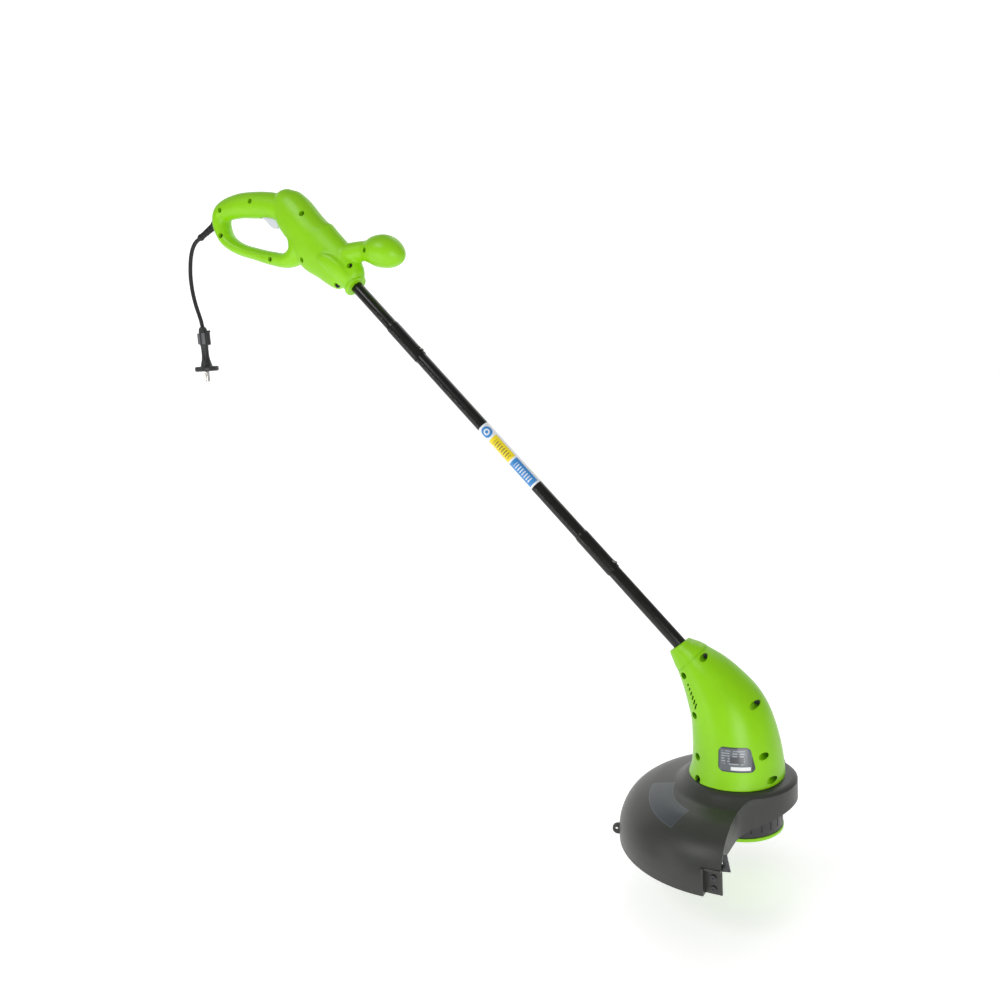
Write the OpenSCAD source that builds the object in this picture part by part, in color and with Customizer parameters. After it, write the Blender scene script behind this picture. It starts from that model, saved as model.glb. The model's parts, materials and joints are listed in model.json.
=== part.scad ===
// Corded string trimmer, held in its working pose.
// X runs forward from the rear grip to the cutting head, Y is across, Z is up.
// The origin is the middle of the rear grip. The spool axis is upright.

/* [Shaft] */
// Outside diameter of the shaft tubes
shaft_d = 18; // [17.5:0.1:18.5]
// Wall of the shaft tubes
shaft_wall = 0.9; // [0.7:0.1:1.2]
// Angle of the shaft below level
shaft_angle = 46; // [44:0.5:48]
// Length of shaft that shows between the handle and the head
shaft_len = 689; // [660:1:720]
// Outside diameter of the swaged sleeves
sleeve_d = 20; // [20:0.1:21]
// Length of each swaged sleeve
sleeve_len = 64; // [56:1:68]

/* [Handle] */
// Wall of the moulded shells
shell_wall = 2.5; // [2:0.1:3]
// Width of the trigger
trigger_w = 12; // [10:0.5:14]

/* [Cord] */
// Diameter of the power cord
cord_d = 6.4; // [6:0.1:7]
// Diameter of the plug's flange
plug_flange_d = 38; // [34:1:42]

/* [Head] */
// Radius of the guard at its rim
guard_r = 158.8; // [155:0.1:165]
// Wall of the guard
guard_wall = 2.6; // [2:0.1:3.2]
// Radius of the guard's front lip
lip_r = 72; // [70:0.5:74]
// Radius of the spool cup
cup_r = 53; // [50:0.5:55]
// Diameter of the motor shaft
motor_shaft_d = 8; // [7:0.5:9]

/* [Hidden] */

lime = [0.52, 0.83, 0.02];
charcoal = [0.26, 0.27, 0.25];
black = [0.13, 0.13, 0.13];
pale_grey = [0.84, 0.85, 0.87];
steel = [0.72, 0.73, 0.75];
copper = [0.75, 0.42, 0.2];
brass = [0.8, 0.65, 0.3];

arc_n = 8;       // facets on a half ring
smooth_n = 2;    // rings between two stations
eps = 0.1;

// ---- places ----
socket = [194.5, -138];               // where the shaft enters the handle's collar
neck = [76.9, 254.4];                 // from the spool axis and rim up to the head's collar
shaft_r = shaft_d / 2;
bore_r = shaft_r - shaft_wall;
head_x = socket.x + shaft_len * cos(shaft_angle) + neck.x;
head_z = socket.y - shaft_len * sin(shaft_angle) - neck.y;

module on_shaft(s = 0) {
    translate([socket.x, 0, socket.y]) rotate([0, shaft_angle, 0]) translate([s, 0, 0]) children();
}
module in_head() {
    translate([head_x, 0, head_z]) children();
}
module pole(r, x0, x1) {
    translate([x0, 0, 0]) rotate([0, 90, 0]) cylinder(r = r, h = x1 - x0, $fn = 64);
}
module across(x, z, r, y0, y1) {
    translate([x, y1, z]) rotate([90, 0, 0]) cylinder(r = r, h = y1 - y0, $fn = 32);
}

// The head's own end of the shaft, in the head's frame
module at_neck() {
    translate([-neck.x, 0, neck.y]) rotate([0, shaft_angle, 0]) children();
}

// ---- sweeps ----
// A station is [x, z, half width in the XZ plane, half depth along Y].
function crom(a, b, c, d, t) =
    0.5 * (2 * b + (c - a) * t + (2 * a - 5 * b + 4 * c - d) * t * t + (3 * b - a - 3 * c + d) * t * t * t);
function smooth_loop(p, k) = let (n = len(p)) [for (i = [0 : n - 1]) for (j = [0 : k - 1])
    crom(p[(i + n - 1) % n], p[i], p[(i + 1) % n], p[(i + 2) % n], j / k)];
function smooth_path(p, k) = let (n = len(p))
    concat([for (i = [0 : n - 2]) for (j = [0 : k - 1])
        crom(p[max(i - 1, 0)], p[i], p[i + 1], p[min(i + 2, n - 1)], j / k)], [p[n - 1]]);
function unit(v) = v / norm(v);
function side(a, b) = let (d = unit([b[0] - a[0], b[1] - a[1]])) [-d[1], d[0]];
// A half ring on the -Y side, from -u round to +u. Lift carries its flat side past the parting plane.
function half_ring(c, u, b, lift) = concat(
    [for (i = [0 : arc_n]) let (t = 180 * i / arc_n)
        [c[0] - u[0] * cos(t), -b * sin(t), c[1] - u[1] * cos(t)]],
    lift > 0 ? [[c[0] + u[0], lift, c[1] + u[1]], [c[0] - u[0], lift, c[1] - u[1]]] : []);
function loop_rings(p, w, lift) = let (n = len(p)) [for (i = [0 : n - 1])
    half_ring(p[i], side(p[(i + n - 1) % n], p[(i + 1) % n]) * (p[i][2] - w), p[i][3] - w, lift)];
function path_rings(p, w, lift) = let (n = len(p)) [for (i = [0 : n - 1])
    half_ring(p[i], side(p[max(i - 1, 0)], p[min(i + 1, n - 1)]) * (p[i][2] - w), p[i][3] - w, lift)];

module skin(rings, closed = false) {
    n = len(rings);
    m = len(rings[0]);
    last = closed ? n - 1 : n - 2;
    sides = [for (k = [0 : last]) for (i = [0 : m - 1])
        let (here = k * m, next = ((k + 1) % n) * m, j = (i + 1) % m)
        each [[here + i, here + j, next + j], [here + i, next + j, next + i]]];
    ends = closed ? [] : [[for (i = [m - 1 : -1 : 0]) i], [for (i = [0 : m - 1]) (n - 1) * m + i]];
    polyhedron(points = [for (r = rings) each r], faces = concat(sides, ends), convexity = 8);
}

// Its children as a single smooth skin, at their own size
module one_skin() {
    resize([0, 0, 0]) children();
}

// A round tube along points in space. Its side directions stay steady because the routes are gentle.
function turn_dir(p, i) = unit(p[min(i + 1, len(p) - 1)] - p[max(i - 1, 0)]);
function tube_rings(p, r, k) = [for (i = [0 : len(p) - 1])
    let (d = turn_dir(p, i), s = unit(cross(d, abs(d.y) > 0.8 ? [1, 0, 0] : [0, 1, 0])), q = cross(s, d))
    [for (j = [0 : k - 1]) let (t = 360 * j / k) p[i] + r * (cos(t) * s + sin(t) * q)]];
module tube(points, r, k = 8, steps = 2) {
    skin(tube_rings(smooth_path(points, steps), r, k));
}
module coil(r, wire, z0, z1, turns) {
    n = round(turns * 10);
    skin(tube_rings([for (i = [0 : n]) let (a = 360 * turns * i / n)
        [r * cos(a), r * sin(a), z0 + wire + (z1 - z0 - 2 * wire) * i / n]], wire, 6));
}

// ---- handle outline ----
// The D loop: left bar, top grip bar, down through the trunk, back along the lower bar
loop_stations = [
    [-61, -22, 13, 16], [-57, -6, 14.5, 16.5], [-42, 0, 17, 17], [-15, 2, 19, 17.5],
    [10, 0, 20, 17.5], [35, -3, 20, 17.5], [57, -8, 20, 18], [84, -22, 22, 20],
    [97, -48, 24, 20], [92, -76, 18, 18], [68, -88, 12, 15], [35, -82, 10.5, 14.5],
    [5, -73, 9.5, 14], [-20, -65, 9.5, 14], [-40, -55, 10, 14.5], [-54, -42, 11.5, 15]];
// The trunk, measured along the shaft line from the collar
trunk_stations = [
    [-198, 8, 8, 9], [-193.5, 8, 14, 13.5], [-186.5, 7, 20.5, 18], [-174, 3.5, 29.5, 21], [-150, 3, 33, 23],
    [-120, 1, 34, 24], [-96, -3, 41, 23], [-66, 0, 37, 21.5], [-36, 3, 33, 20],
    [-20, 4.5, 26.5, 18], [-8, 1.2, 18.7, 17], [0, 0, 16.5, 16.5]];
// The neck and egg of the front knob
knob_stations = [
    [158, -92, 18, 15], [185, -90, 16, 15], [205, -88.5, 14.8, 14], [216, -88.5, 14.8, 14],
    [224, -89.5, 17.5, 17], [232, -90, 21, 20.5], [241, -91, 23.2, 23], [251, -92.5, 23.6, 23.5],
    [261, -96, 22, 22], [270.5, -100, 17.5, 17.5], [277, -103, 11.5, 11.5], [281, -105, 5, 5]];
// Screws: x, z
handle_screw_at = [
    [17, 4], [-47, -2], [-53, -40], [44, -85], [118, -26], [109, -92], [195, -108], [166, -134], [227, -89]];
screw_r = 1.5;
screw_head_r = 3.4;
screw_seat = 7;       // from the parting plane to the seat of a screw's head
screw_tip = 9;        // how far a screw reaches past the parting plane
handle_pocket_r = 3.9;
handle_boss_r = 5.4;
housing_pocket_r = 4.6;
housing_boss_r = 6.2;
fit = 0.1;            // gap round a screw or tube in its hole

function span(p, i, j) = [for (k = [i : j]) p[k]];
// Solid outside with w = 0, or the hollow inside it, whose ends stop short
module handle_form(w, lift) {
    hollow = w > 0 ? 1 : 0;
    skin(loop_rings(smooth_loop(loop_stations, smooth_n), w, lift), closed = true);
    trunk = span(trunk_stations, hollow, 11 - 2 * hollow);
    on_shaft() skin(path_rings(smooth_path(trunk, smooth_n), w, lift));
    skin(path_rings(smooth_path(span(knob_stations, 0, 11 - hollow), smooth_n), w, lift));
}

// ---- gland, cord and plug ----
gland_tilt = 25;                      // the gland points this far below level, backwards
gland_at = [-73, 0, -19];             // on the outside of the handle
gland_len = 44;
gland_dir = [-cos(gland_tilt), 0, -sin(gland_tilt)];
// Centre line of the hanging cord, from the tip of the gland down to the plug
cord_route = concat([gland_at + gland_dir * gland_len], [
    [-119, 0, -40.5], [-125, 0, -44.5], [-130.5, 0, -51], [-135, 0, -59.5], [-138.5, 0, -70],
    [-141, 0, -82], [-142.5, 0, -95], [-142.5, 0, -108], [-141.5, 0, -121], [-139.5, 0, -133],
    [-136.5, 0, -145], [-133, 0, -156], [-130, 0, -166], [-128, 0, -177]]);
plug_at = [-128, 0, -177];            // top of the plug
cord_r = cord_d / 2;

module on_gland() {
    translate(gland_at) rotate([0, 180 - gland_tilt, 0]) rotate([0, 90, 0]) children();
}

// ---- trigger and switch ----
pivot = [20, -12];
clamp_x = -25;
clamp_screw_z = [-6, 7];
plunger_x = 46;
spring_x = 55;
lead_r = 1.1;
switch_z = -8;        // underside of the switch
switch_size = [25, 16, 12];
switch_x = 34;
pin_r = 2;
pin_half = 10.7;      // half the length of the trigger's pin

// ---- head ----
// Left and right edges of the housing from the collar down to the base: [xl, zl, xr, zr, half depth]
housing_stations = [
    [-89, 243, -64, 262, 16], [-86, 236, -58, 260, 18.5], [-83, 229, -50, 258, 21.5],
    [-79, 220, -37, 252, 26], [-74, 208, -14, 239, 32.5], [-69, 192, 8, 221, 38.5],
    [-65, 177, 26, 202, 44], [-61, 160, 39, 180, 49], [-60, 140, 48, 154, 53.5],
    [-60, 118, 54, 127, 57], [-62, 101, 57, 103, 60], [-66, 89, 57.5, 89, 63]];
base_z = 89;
function housing_ring(s, w, lift) = let (h = [s[2] - s[0], s[3] - s[1]] / 2)
    half_ring([(s[0] + s[2]) / 2, (s[1] + s[3]) / 2], h * (1 - w / norm(h)), s[4] - w, lift);
// Housing screws: x, z
housing_screw_at = [
    [-38, 244], [-63, 219], [-47, 171], [27, 190], [-42, 119], [41, 130], [-40, 92.5], [49, 98]];

// Guard: radius and height of the outer skin, from the hub out to the rim
guard_profile = [[66, 88.6], [70, 86.5], [77, 80.5], [84, 76], [95, 73.5], [115, 68.5],
    [135, 58.5], [148, 45], [156, 28], [guard_r, 12], [guard_r, 0]];
cut_x = 21;           // the guard's cut line, ahead of the spool axis
blend_r = 35;         // hollow corner between the cut line and the front lip
blend_x = cut_x + blend_r;
blend_y = sqrt(pow(lip_r + blend_r, 2) - pow(blend_x, 2));
blend_a = atan2(blend_y, blend_x);
ear_at = 159;         // direction of the ears from the spool axis
tab_y = -148.5;       // outer face of the blade holder

// ================= handle =================
module handle_half(screw_side) {
    difference() {
        one_skin() difference() {
            handle_form(0, 0);
            difference() {
                handle_form(shell_wall, 1);
                for (s = handle_screw_at) across(s[0], s[1], handle_boss_r, -30, -eps);
                on_shaft() for (s = [-62, -34]) translate([s, -30, -30]) cube([3, 30 - eps, 60]);
                across(pivot.x, pivot.y, 4.2, -30, -trigger_w / 2 - 0.4);
                if (screw_side) for (z = clamp_screw_z) across(clamp_x, z, 2.9, -30, cord_r - 0.1);
            }
        }
        on_shaft() pole(shaft_r + fit, -80, 5);
        for (s = handle_screw_at) {
            across(s[0], s[1], screw_r + fit, -30, 1);
            if (screw_side) across(s[0], s[1], handle_pocket_r, -30, -screw_seat);
        }
        translate([22.5, -trigger_w / 2 - 0.6, -50]) cube([43.5, trigger_w + 1.2, 38]);
        across(pivot.x, pivot.y, pin_r + 0.05, -pin_half - 0.2, 1);
        for (z = clamp_screw_z) across(clamp_x, z, screw_r + fit, -14, 4);
        // stepped hole that grips the gland's groove
        on_gland() rotate_extrude($fn = 48)
            polygon([[0, -12], [7.7, -12], [7.7, -3.9], [5.2, -3.9], [5.2, 0.4], [7.4, 0.4],
                [7.4, 12], [0, 12]]);
    }
}
module handle_shell_right() color(lime) handle_half(true);
module handle_shell_left() color(lime) mirror([0, 1, 0]) handle_half(false);
module screw(x, z, seat, tip) {
    across(x, z, screw_r, seat, tip);
    difference() {
        across(x, z, screw_head_r, seat - 2.2, seat);
        for (a = [0, 90]) translate([x, seat - 2.2, z]) rotate([0, a, 0])
            cube([4, 1.6, 0.8], center = true);
    }
}
module handle_screws() color(steel) for (s = handle_screw_at) screw(s[0], s[1], -screw_seat, screw_tip);

module trigger() color(pale_grey) difference() {
    union() {
        translate([0, trigger_w / 2, 0]) rotate([90, 0, 0]) linear_extrude(trigger_w)
            polygon([[20, -8], [61, -16], [61, -36], [57.5, -39.5], [50, -39.5], [44, -36.5],
                [36, -28], [29, -21.5], [20, -16]]);
        across(pivot.x, pivot.y, 4.5, -trigger_w / 2, trigger_w / 2);
    }
    across(pivot.x, pivot.y, pin_r + 0.05, -trigger_w, trigger_w);
    translate([spring_x, 0, -26]) cylinder(r = 4, h = 20, $fn = 32);
}
module trigger_pin() color(steel) across(pivot.x, pivot.y, pin_r, -pin_half, pin_half);
module trigger_spring() color(steel) translate([spring_x, 0, 0]) coil(3, 0.4, -25.9, switch_z - 0.1, 6);
module switch_body() color(black) difference() {
    translate([switch_x, -switch_size.y / 2, switch_z]) cube(switch_size);
    translate([plunger_x, 0, switch_z - 1]) cylinder(r = 2.55, h = 8.5, $fn = 32);
}
module switch_plunger() color("firebrick") translate([plunger_x, 0, -12.2])
    cylinder(r = 2.5, h = 8, $fn = 32);
module capacitor() color([0.85, 0.75, 0.3]) across(112, -62, 7, -10, 10);
module switch_leads() color("saddlebrown") for (y = [-2, 2])
    tube([[-19.9, y, 1], [-8, y, -1], [6, y, -4.2], [17, y, -5], [27, y, -4], [33.9, y, -2]], lead_r);
module shaft_leads() color("steelblue") for (y = [-2.2, 2.2])
    tube([[59.1, y, 0], [76, y, -4], [96, y, -22], [113, y, -45], [128, y, -66],
        [136, y, -78.5], [141.3, y, -88.5]], lead_r);

// ================= cord =================
// Moulded boot: flange and groove held by the shells, then a ribbed taper
module cord_gland() color(black) on_gland() rotate_extrude($fn = 48) polygon(concat(
    [[0, -6.5], [7.5, -6.5], [7.5, -4], [5.1, -4], [5.1, 0.5], [7.2, 0.5], [7.2, 5], [5.9, 5.8]],
    [for (i = [0 : 5]) each [[5.9 - i * 0.22, 8 + i * 5], [5.9 - i * 0.22, 11 + i * 5],
        [5.1 - i * 0.22, 11 + i * 5], [5.1 - i * 0.22, 13 + i * 5]]],
    [[5.3, 38], [5.3, 42.5], [4.5, gland_len], [0, gland_len]]));
module cord_tail() color(black)
    tube([[-67.1, 0, -16.2], [-60, 0, -13.2], [-53, 0, -11.6], [-46, 0, -10.6], [-40, 0, -8],
        [-34, 0, -3.4], [-29, 0, -0.4], [-25, 0, 0.5], [-20, 0, 1]], cord_r - 0.1);
module cord_clamp() color(black) difference() {
    translate([clamp_x - 4, cord_r, -9]) cube([8, 3, 18.5]);
    for (z = clamp_screw_z) across(clamp_x, z, screw_r + fit, -5, 9);
}
module cord_clamp_screws() color(steel) for (z = clamp_screw_z) mirror([0, 1, 0])
    screw(clamp_x, z, -cord_r - 3, 8);
module power_cord() color(black) tube(cord_route, cord_r, 10, 2);
module plug_body() color([0.25, 0.25, 0.27]) translate(plug_at) {
    rotate_extrude($fn = 64) polygon([[0, 0], [4.5, 0], [6.5, -3], [7, -9], [7, -29], [6.2, -31], [5.8, -36],
        [5.8, -46], [6.4, -52], [8.8, -60], [10, -64],
        [plug_flange_d / 2 - 1.5, -64], [plug_flange_d / 2, -65.5],
        [plug_flange_d / 2, -70.5], [plug_flange_d / 2 - 1.5, -72], [0, -72]]);
    translate([-8, -6.5, -28]) cube([16, 13, 18]);
}
module plug_clip() color(black) translate(plug_at) {
    translate([8, -4, -30]) cube([3.4, 8, 21]);
    translate([8, -4, -9]) cube([5.2, 8, 3]);
}
module plug_pins() color(brass) translate(plug_at) rotate([0, 0, 40]) for (y = [-9.5, 9.5])
    translate([0, y, -91]) {
        cylinder(r = 2.4, h = 19, $fn = 32);
        translate([0, 0, -1.5]) cylinder(r = 1.4, h = 1.5, $fn = 32);
    }

// ================= shaft =================
sleeve_start = [86, 498];             // where each swage begins
button_at = [sleeve_start[0] + sleeve_len - 8, sleeve_start[1] + sleeve_len - 8];
button_r = 3.9;
// A tube with a plain top end and a swaged, wider bottom end
module swaged_tube(top, swage, holes) {
    difference() {
        rotate([0, 90, 0]) rotate_extrude($fn = 96) polygon([
            [bore_r, top], [shaft_r, top], [shaft_r, swage - 3], [sleeve_d / 2, swage],
            [sleeve_d / 2, swage + sleeve_len], [shaft_r + 0.1, swage + sleeve_len],
            [shaft_r + 0.1, swage + 0.5], [bore_r, swage - 2.5]]);
        for (s = holes) translate([s, 0, 0]) cylinder(r = button_r + 0.3, h = 15, $fn = 32);
    }
}
module upper_tube() color(black) on_shaft() swaged_tube(-78, sleeve_start[0], [button_at[0]]);
module middle_tube() color(black) on_shaft()
    swaged_tube(sleeve_start[0] + 4, sleeve_start[1], [button_at[0], button_at[1]]);
module lower_tube() color(black) on_shaft() difference() {
    pole(shaft_r, sleeve_start[1] + 4, shaft_len + 52);
    pole(bore_r, sleeve_start[1], shaft_len + 60);
    translate([button_at[1], 0, 0]) cylinder(r = button_r + 0.3, h = 15, $fn = 32);
}
// Round button whose crown ramps up towards the head
module snap_button(s) color(steel) on_shaft(s) {
    difference() {
        translate([0, 0, 6]) cylinder(r = button_r, h = 7, $fn = 48);
        translate([-6, -6, 10.4]) rotate([0, -22, 0]) cube([16, 12, 6]);
    }
    translate([0, 0, 5]) cylinder(r = 4.9, h = 1.1, $fn = 48);
}
module snap_button_upper() snap_button(button_at[0]);
module snap_button_lower() snap_button(button_at[1]);
module snap_spring(s) color(steel) on_shaft(s) rotate([90, 0, 0]) translate([0, 0, -2.5]) linear_extrude(5)
    polygon([[5, 4.8], [-5, 4.8], [-26, 7.2], [-36, 7.2], [-36, 6.8], [-26, 6.8], [-5, 4.4], [5, 4.4]]);
module snap_spring_upper() snap_spring(button_at[0]);
module snap_spring_lower() snap_spring(button_at[1]);
module shaft_label() color("white") on_shaft() difference() {
    pole(shaft_r + 0.2, 290, 404);
    pole(shaft_r, 289, 405);
}
module shaft_cable() color(black) on_shaft() translate([0, 0, -4]) pole(3, -72, shaft_len + 54);

// ================= motor housing =================
module housing_form(w, lift) {
    inside = w > 0;
    skin([for (i = [inside ? 3 : 0 : 11]) housing_ring(
        inside && i == 11 ? housing_stations[i] - [0, 3, 0, 3, 0] : housing_stations[i], w, lift)]);
}
module vent_slots() {
    for (i = [0 : 4]) translate([-62 + 3 * i, -10 - 1.6 * i, 207 - 6.5 * i]) rotate([0, -64, 0])
        translate([-1.1, -20, -6]) cube([2.2, 22, 12]);
}
module housing_half(screw_side) in_head() {
    difference() {
        housing_form(0, 0);
        difference() {
            housing_form(shell_wall, 1);
            for (s = housing_screw_at) across(s[0], s[1], housing_boss_r, -80, -eps);
            at_neck() translate([38, -40, -40]) cube([3, 40 - eps, 80]);
        }
        at_neck() pole(shaft_r + fit, -5, 56);
        for (s = housing_screw_at) {
            across(s[0], s[1], screw_r + fit, -80, 1);
            if (screw_side) across(s[0], s[1], housing_pocket_r, -80, -screw_seat);
        }
    }
}

module motor_housing_right() color(lime) difference() {
    housing_half(true);
    in_head() vent_slots();
}
module motor_housing_left() color(lime) mirror([0, 1, 0]) difference() {
    housing_half(false);
    in_head() vent_slots();
}
module housing_screws() color(steel) in_head() for (s = housing_screw_at)
    screw(s[0], s[1], -screw_seat, screw_tip);
// Thin plate that follows the side of the housing
module rating_plate() color(pale_grey) in_head() intersection() {
    difference() {
        housing_form(-0.6, 0);
        housing_form(-0.1, 1);
    }
    translate([0, -20, 0]) rotate([90, 0, 0]) linear_extrude(60)
        polygon([[-10, 141], [-7, 143.5], [24, 143.5], [28, 140], [34, 117], [31, 113],
            [-4, 113], [-9, 117]]);
}

// ================= motor =================
module ring_body(r0, r1, z0, z1) {
    translate([0, 0, z0]) difference() {
        cylinder(r = r1, h = z1 - z0, $fn = 96);
        translate([0, 0, -1]) cylinder(r = r0, h = z1 - z0 + 2, $fn = 96);
    }
}
module bar(x0, x1, y0, y1, z0, z1) {
    translate([x0, y0, z0]) cube([x1 - x0, y1 - y0, z1 - z0]);
}
motor_r = motor_shaft_d / 2;
iron = [120, 154];                    // bottom and top of the stator
mount_screw_r = 2;
module mount_screw_places() {
    for (a = [45, 135, 270]) rotate([0, 0, a]) translate([a == 135 ? 36 : 44, 0, 0]) children();
}
// Base plate with the lower bearing's seat and four posts under the stator
module motor_mount() color(black) in_head() {
    difference() {
        union() {
            intersection() {
                ring_body(5.5, 50, base_z + 0.2, 93);
                bar(-33, 40, -50, 50, 80, 100);
            }
            ring_body(11, 14, 92, 98);
        }
        ring_body(0, 11, 91, 99);
        mount_screw_places() translate([0, 0, 80]) cylinder(r = mount_screw_r, h = 20, $fn = 32);
    }
    for (x = [-10, 10]) for (y = [-28, 28]) translate([x, y, 93])
        cylinder(r = 2.2, h = iron[0] - 93, $fn = 32);
}
coil_x = [19.5, 24.5];
coil_y = [6, 16, 18, 25];
module stator_core() color(steel) in_head() difference() {
    intersection() {
        ring_body(17.8, 31, iron[0], iron[1]);
        bar(-27, 27, -40, 40, 0, 200);
    }
    for (i = [0, 1]) for (j = [0, 1]) mirror([i, 0, 0]) mirror([0, j, 0])
        bar(coil_x[0] - 0.2, coil_x[1] + 0.2, coil_y[0] - 0.2, coil_y[1] + 0.2, 100, 200);
}
module field_coils() color(copper) in_head() for (j = [0, 1]) mirror([0, j, 0]) {
    for (i = [0, 1]) mirror([i, 0, 0]) {
        bar(coil_x[0], coil_x[1], coil_y[0], coil_y[1], iron[0] - 3, iron[1] + 3);
        for (z = [iron[0] - 7, iron[1] + 1]) bar(coil_x[0], coil_x[1], coil_y[0], coil_y[3], z, z + 6);
    }
    for (z = [iron[0] - 7, iron[1] + 1]) bar(-coil_x[1], coil_x[1], coil_y[2], coil_y[3], z, z + 6);
}
module armature_core() color(steel) in_head() difference() {
    ring_body(motor_r + 0.02, 17, 122, 152);
    for (a = [0 : 30 : 330]) rotate([0, 0, a]) bar(10, 18, -1.1, 1.1, 100, 200);
}
module armature_windings() color(copper) in_head() {
    ring_body(7, 15, 115.5, 121.9);
    ring_body(7, 15, 152.1, 159);
}
module commutator() color(copper) in_head() difference() {
    ring_body(motor_r + 0.02, 10, 164, 178);
    for (a = [0 : 15 : 345]) rotate([0, 0, a]) bar(9, 11, -0.25, 0.25, 163, 176);
}
module motor_shaft() color(steel) in_head() translate([0, 0, 57]) cylinder(r = motor_r, h = 138, $fn = 64);
module bearing(z) {
    ring_body(motor_r + 0.01, motor_r + 2, z, z + 7);
    ring_body(motor_r + 2, 8.8, z + 0.8, z + 6.2);
    ring_body(8.8, 10.98, z, z + 7);
}
module upper_bearing() color(steel) in_head() bearing(186);
module lower_bearing() color(steel) in_head() bearing(91);
module cooling_fan() color(black) in_head() {
    ring_body(motor_r + 0.02, 9, 100, 112);
    ring_body(8, 25, 100, 101.6);
    for (a = [0 : 36 : 324]) rotate([0, 0, a]) bar(8.5, 24.5, -0.8, 0.8, 101, 111);
}
// Crossbar over the commutator with the upper bearing's seat and four legs
module brush_bridge() color(black) in_head() {
    difference() {
        union() {
            bar(-11, 11, -34, 34, 180, 184);
            ring_body(5.5, 13.5, 180, 193);
        }
        ring_body(0, 11, 186, 194);
        ring_body(0, 5.5, 170, 190);
    }
    for (x = [-8.5, 8.5]) for (y = [-29, 29]) translate([x, y, iron[1]]) cylinder(r = 2.2, h = 26, $fn = 32);
    for (j = [0, 1]) mirror([0, j, 0]) bar(-4.5, 4.5, 19, 26, 175, 180);
}
module brush_holders() color(brass) in_head() for (j = [0, 1]) mirror([0, j, 0]) difference() {
    bar(-4.5, 4.5, 12, 30, 167, 175);
    bar(-3.1, 3.1, 11, 28.5, 168.4, 173.6);
}
module carbon_brushes() color(black) in_head() for (j = [0, 1]) mirror([0, j, 0]) difference() {
    bar(-3, 3, 9.5, 21, 168.5, 173.5);
    ring_body(0, 10.3, 160, 180);
}
module brush_springs() color(steel) in_head() for (j = [0, 1]) mirror([0, j, 0])
    translate([0, 0, 171]) rotate([-90, 0, 0]) coil(1.9, 0.3, 21.1, 28.4, 5);
module motor_leads() color("firebrick") in_head() for (j = [0, 1]) mirror([0, j, 0])
    tube([[-41.3, 1.4, 211.4], [-36, 4, 205], [-30, 12, 193], [-22, 21, 181], [-12, 25, 173.5],
        [-4.6, 25.5, 171]], lead_r);

// ================= guard =================
// The top view's outline: a half plane behind the cut line, joined to the round front lip
module plan(w) {
    steps = 8;
    corner = [for (i = [0 : steps]) let (t = 180 + blend_a * i / steps)
        [blend_x + (blend_r + w) * cos(t), blend_y + (blend_r + w) * sin(t)]];
    front = [for (i = [1 : 31]) let (t = blend_a * (1 - i / 16)) [cos(t), sin(t)] * (lip_r - w)];
    polygon(concat([[cut_x - w, -220], [-220, -220], [-220, 220], [cut_x - w, 220]], corner, front,
        [for (i = [steps : -1 : 0]) [corner[i][0], -corner[i][1]]]));
}
function inset(p, w) = [for (i = [1 : len(p) - 1])
    let (d = unit(p[min(i + 1, len(p) - 1)] - p[i - 1])) p[i] - w * [-d[1], d[0]]];
module dome_solid() {
    rotate_extrude($fn = 128) polygon(concat([[0, 0], [0, guard_profile[0][1]]], guard_profile));
}
module dome_skin() {
    inner = inset(guard_profile, guard_wall);
    rotate_extrude($fn = 128) polygon(concat([[16, 88.6]], guard_profile,
        [[guard_r - guard_wall, 0]], [for (i = [8 : -1 : 1]) inner[i]], [[64, 84.6], [16, 84.6]]));
}
module ear(side_sign) {
    rotate([0, 0, side_sign * ear_at]) difference() {
        union() {
            translate([160.5, 1.7, 7.5]) rotate([90, 0, 0]) cylinder(r = 7.5, h = 3.4, $fn = 48);
            bar(guard_r - 2, 160.5, -1.7, 1.7, 0, 15);
        }
        translate([0, 0, -1]) cylinder(r = guard_r - 1, h = 20, $fn = 128);
        translate([162.5, 5, 7.5]) rotate([90, 0, 0]) cylinder(r = 2, h = 10, $fn = 32);
    }
}
module guard() color(charcoal) in_head() {
    difference() {
        union() {
            intersection() {
                dome_skin();
                linear_extrude(100) plan(0);
            }
            // turned-down flange along the cut line and round the lip
            intersection() {
                dome_solid();
                translate([0, 0, 30]) linear_extrude(60) difference() {
                    plan(0);
                    plan(guard_wall);
                }
                translate([cut_x, -158, 40.5]) rotate([0, -21, 0]) translate([-30, 0, 0])
                    cube([100, 316, 60]);
            }
            // near corner: side and roof of the recess
            bar(-1.6, 1, -158, -145.9, 0, 34);
            bar(-1.6, cut_x, -155, -145.9, 31, 34);
        }
        bar(1, cut_x + 1, -170, tab_y, -1, 31);
        mount_screw_places() translate([0, 0, 80]) cylinder(r = mount_screw_r + 0.2, h = 20, $fn = 32);
    }
    difference() {
        bar(-1.6, cut_x, tab_y, -145.9, 0, 34);
        for (z = blade_screw_z) across(blade_screw_x, z, screw_r + fit, -160, -140);
    }
    ear(1);
    ear(-1);
}
module guard_screws() color(steel) in_head() mount_screw_places() {
    translate([0, 0, 84.6]) cylinder(r = mount_screw_r, h = 12, $fn = 32);
    difference() {
        translate([0, 0, 81.4]) cylinder(r = 3.6, h = 3.2, $fn = 32);
        for (a = [0, 90]) rotate([0, 0, a]) bar(-2, 2, -0.5, 0.5, 81, 83);
    }
}
blade_screw_x = 11;
blade_screw_z = [7, 21];
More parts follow.
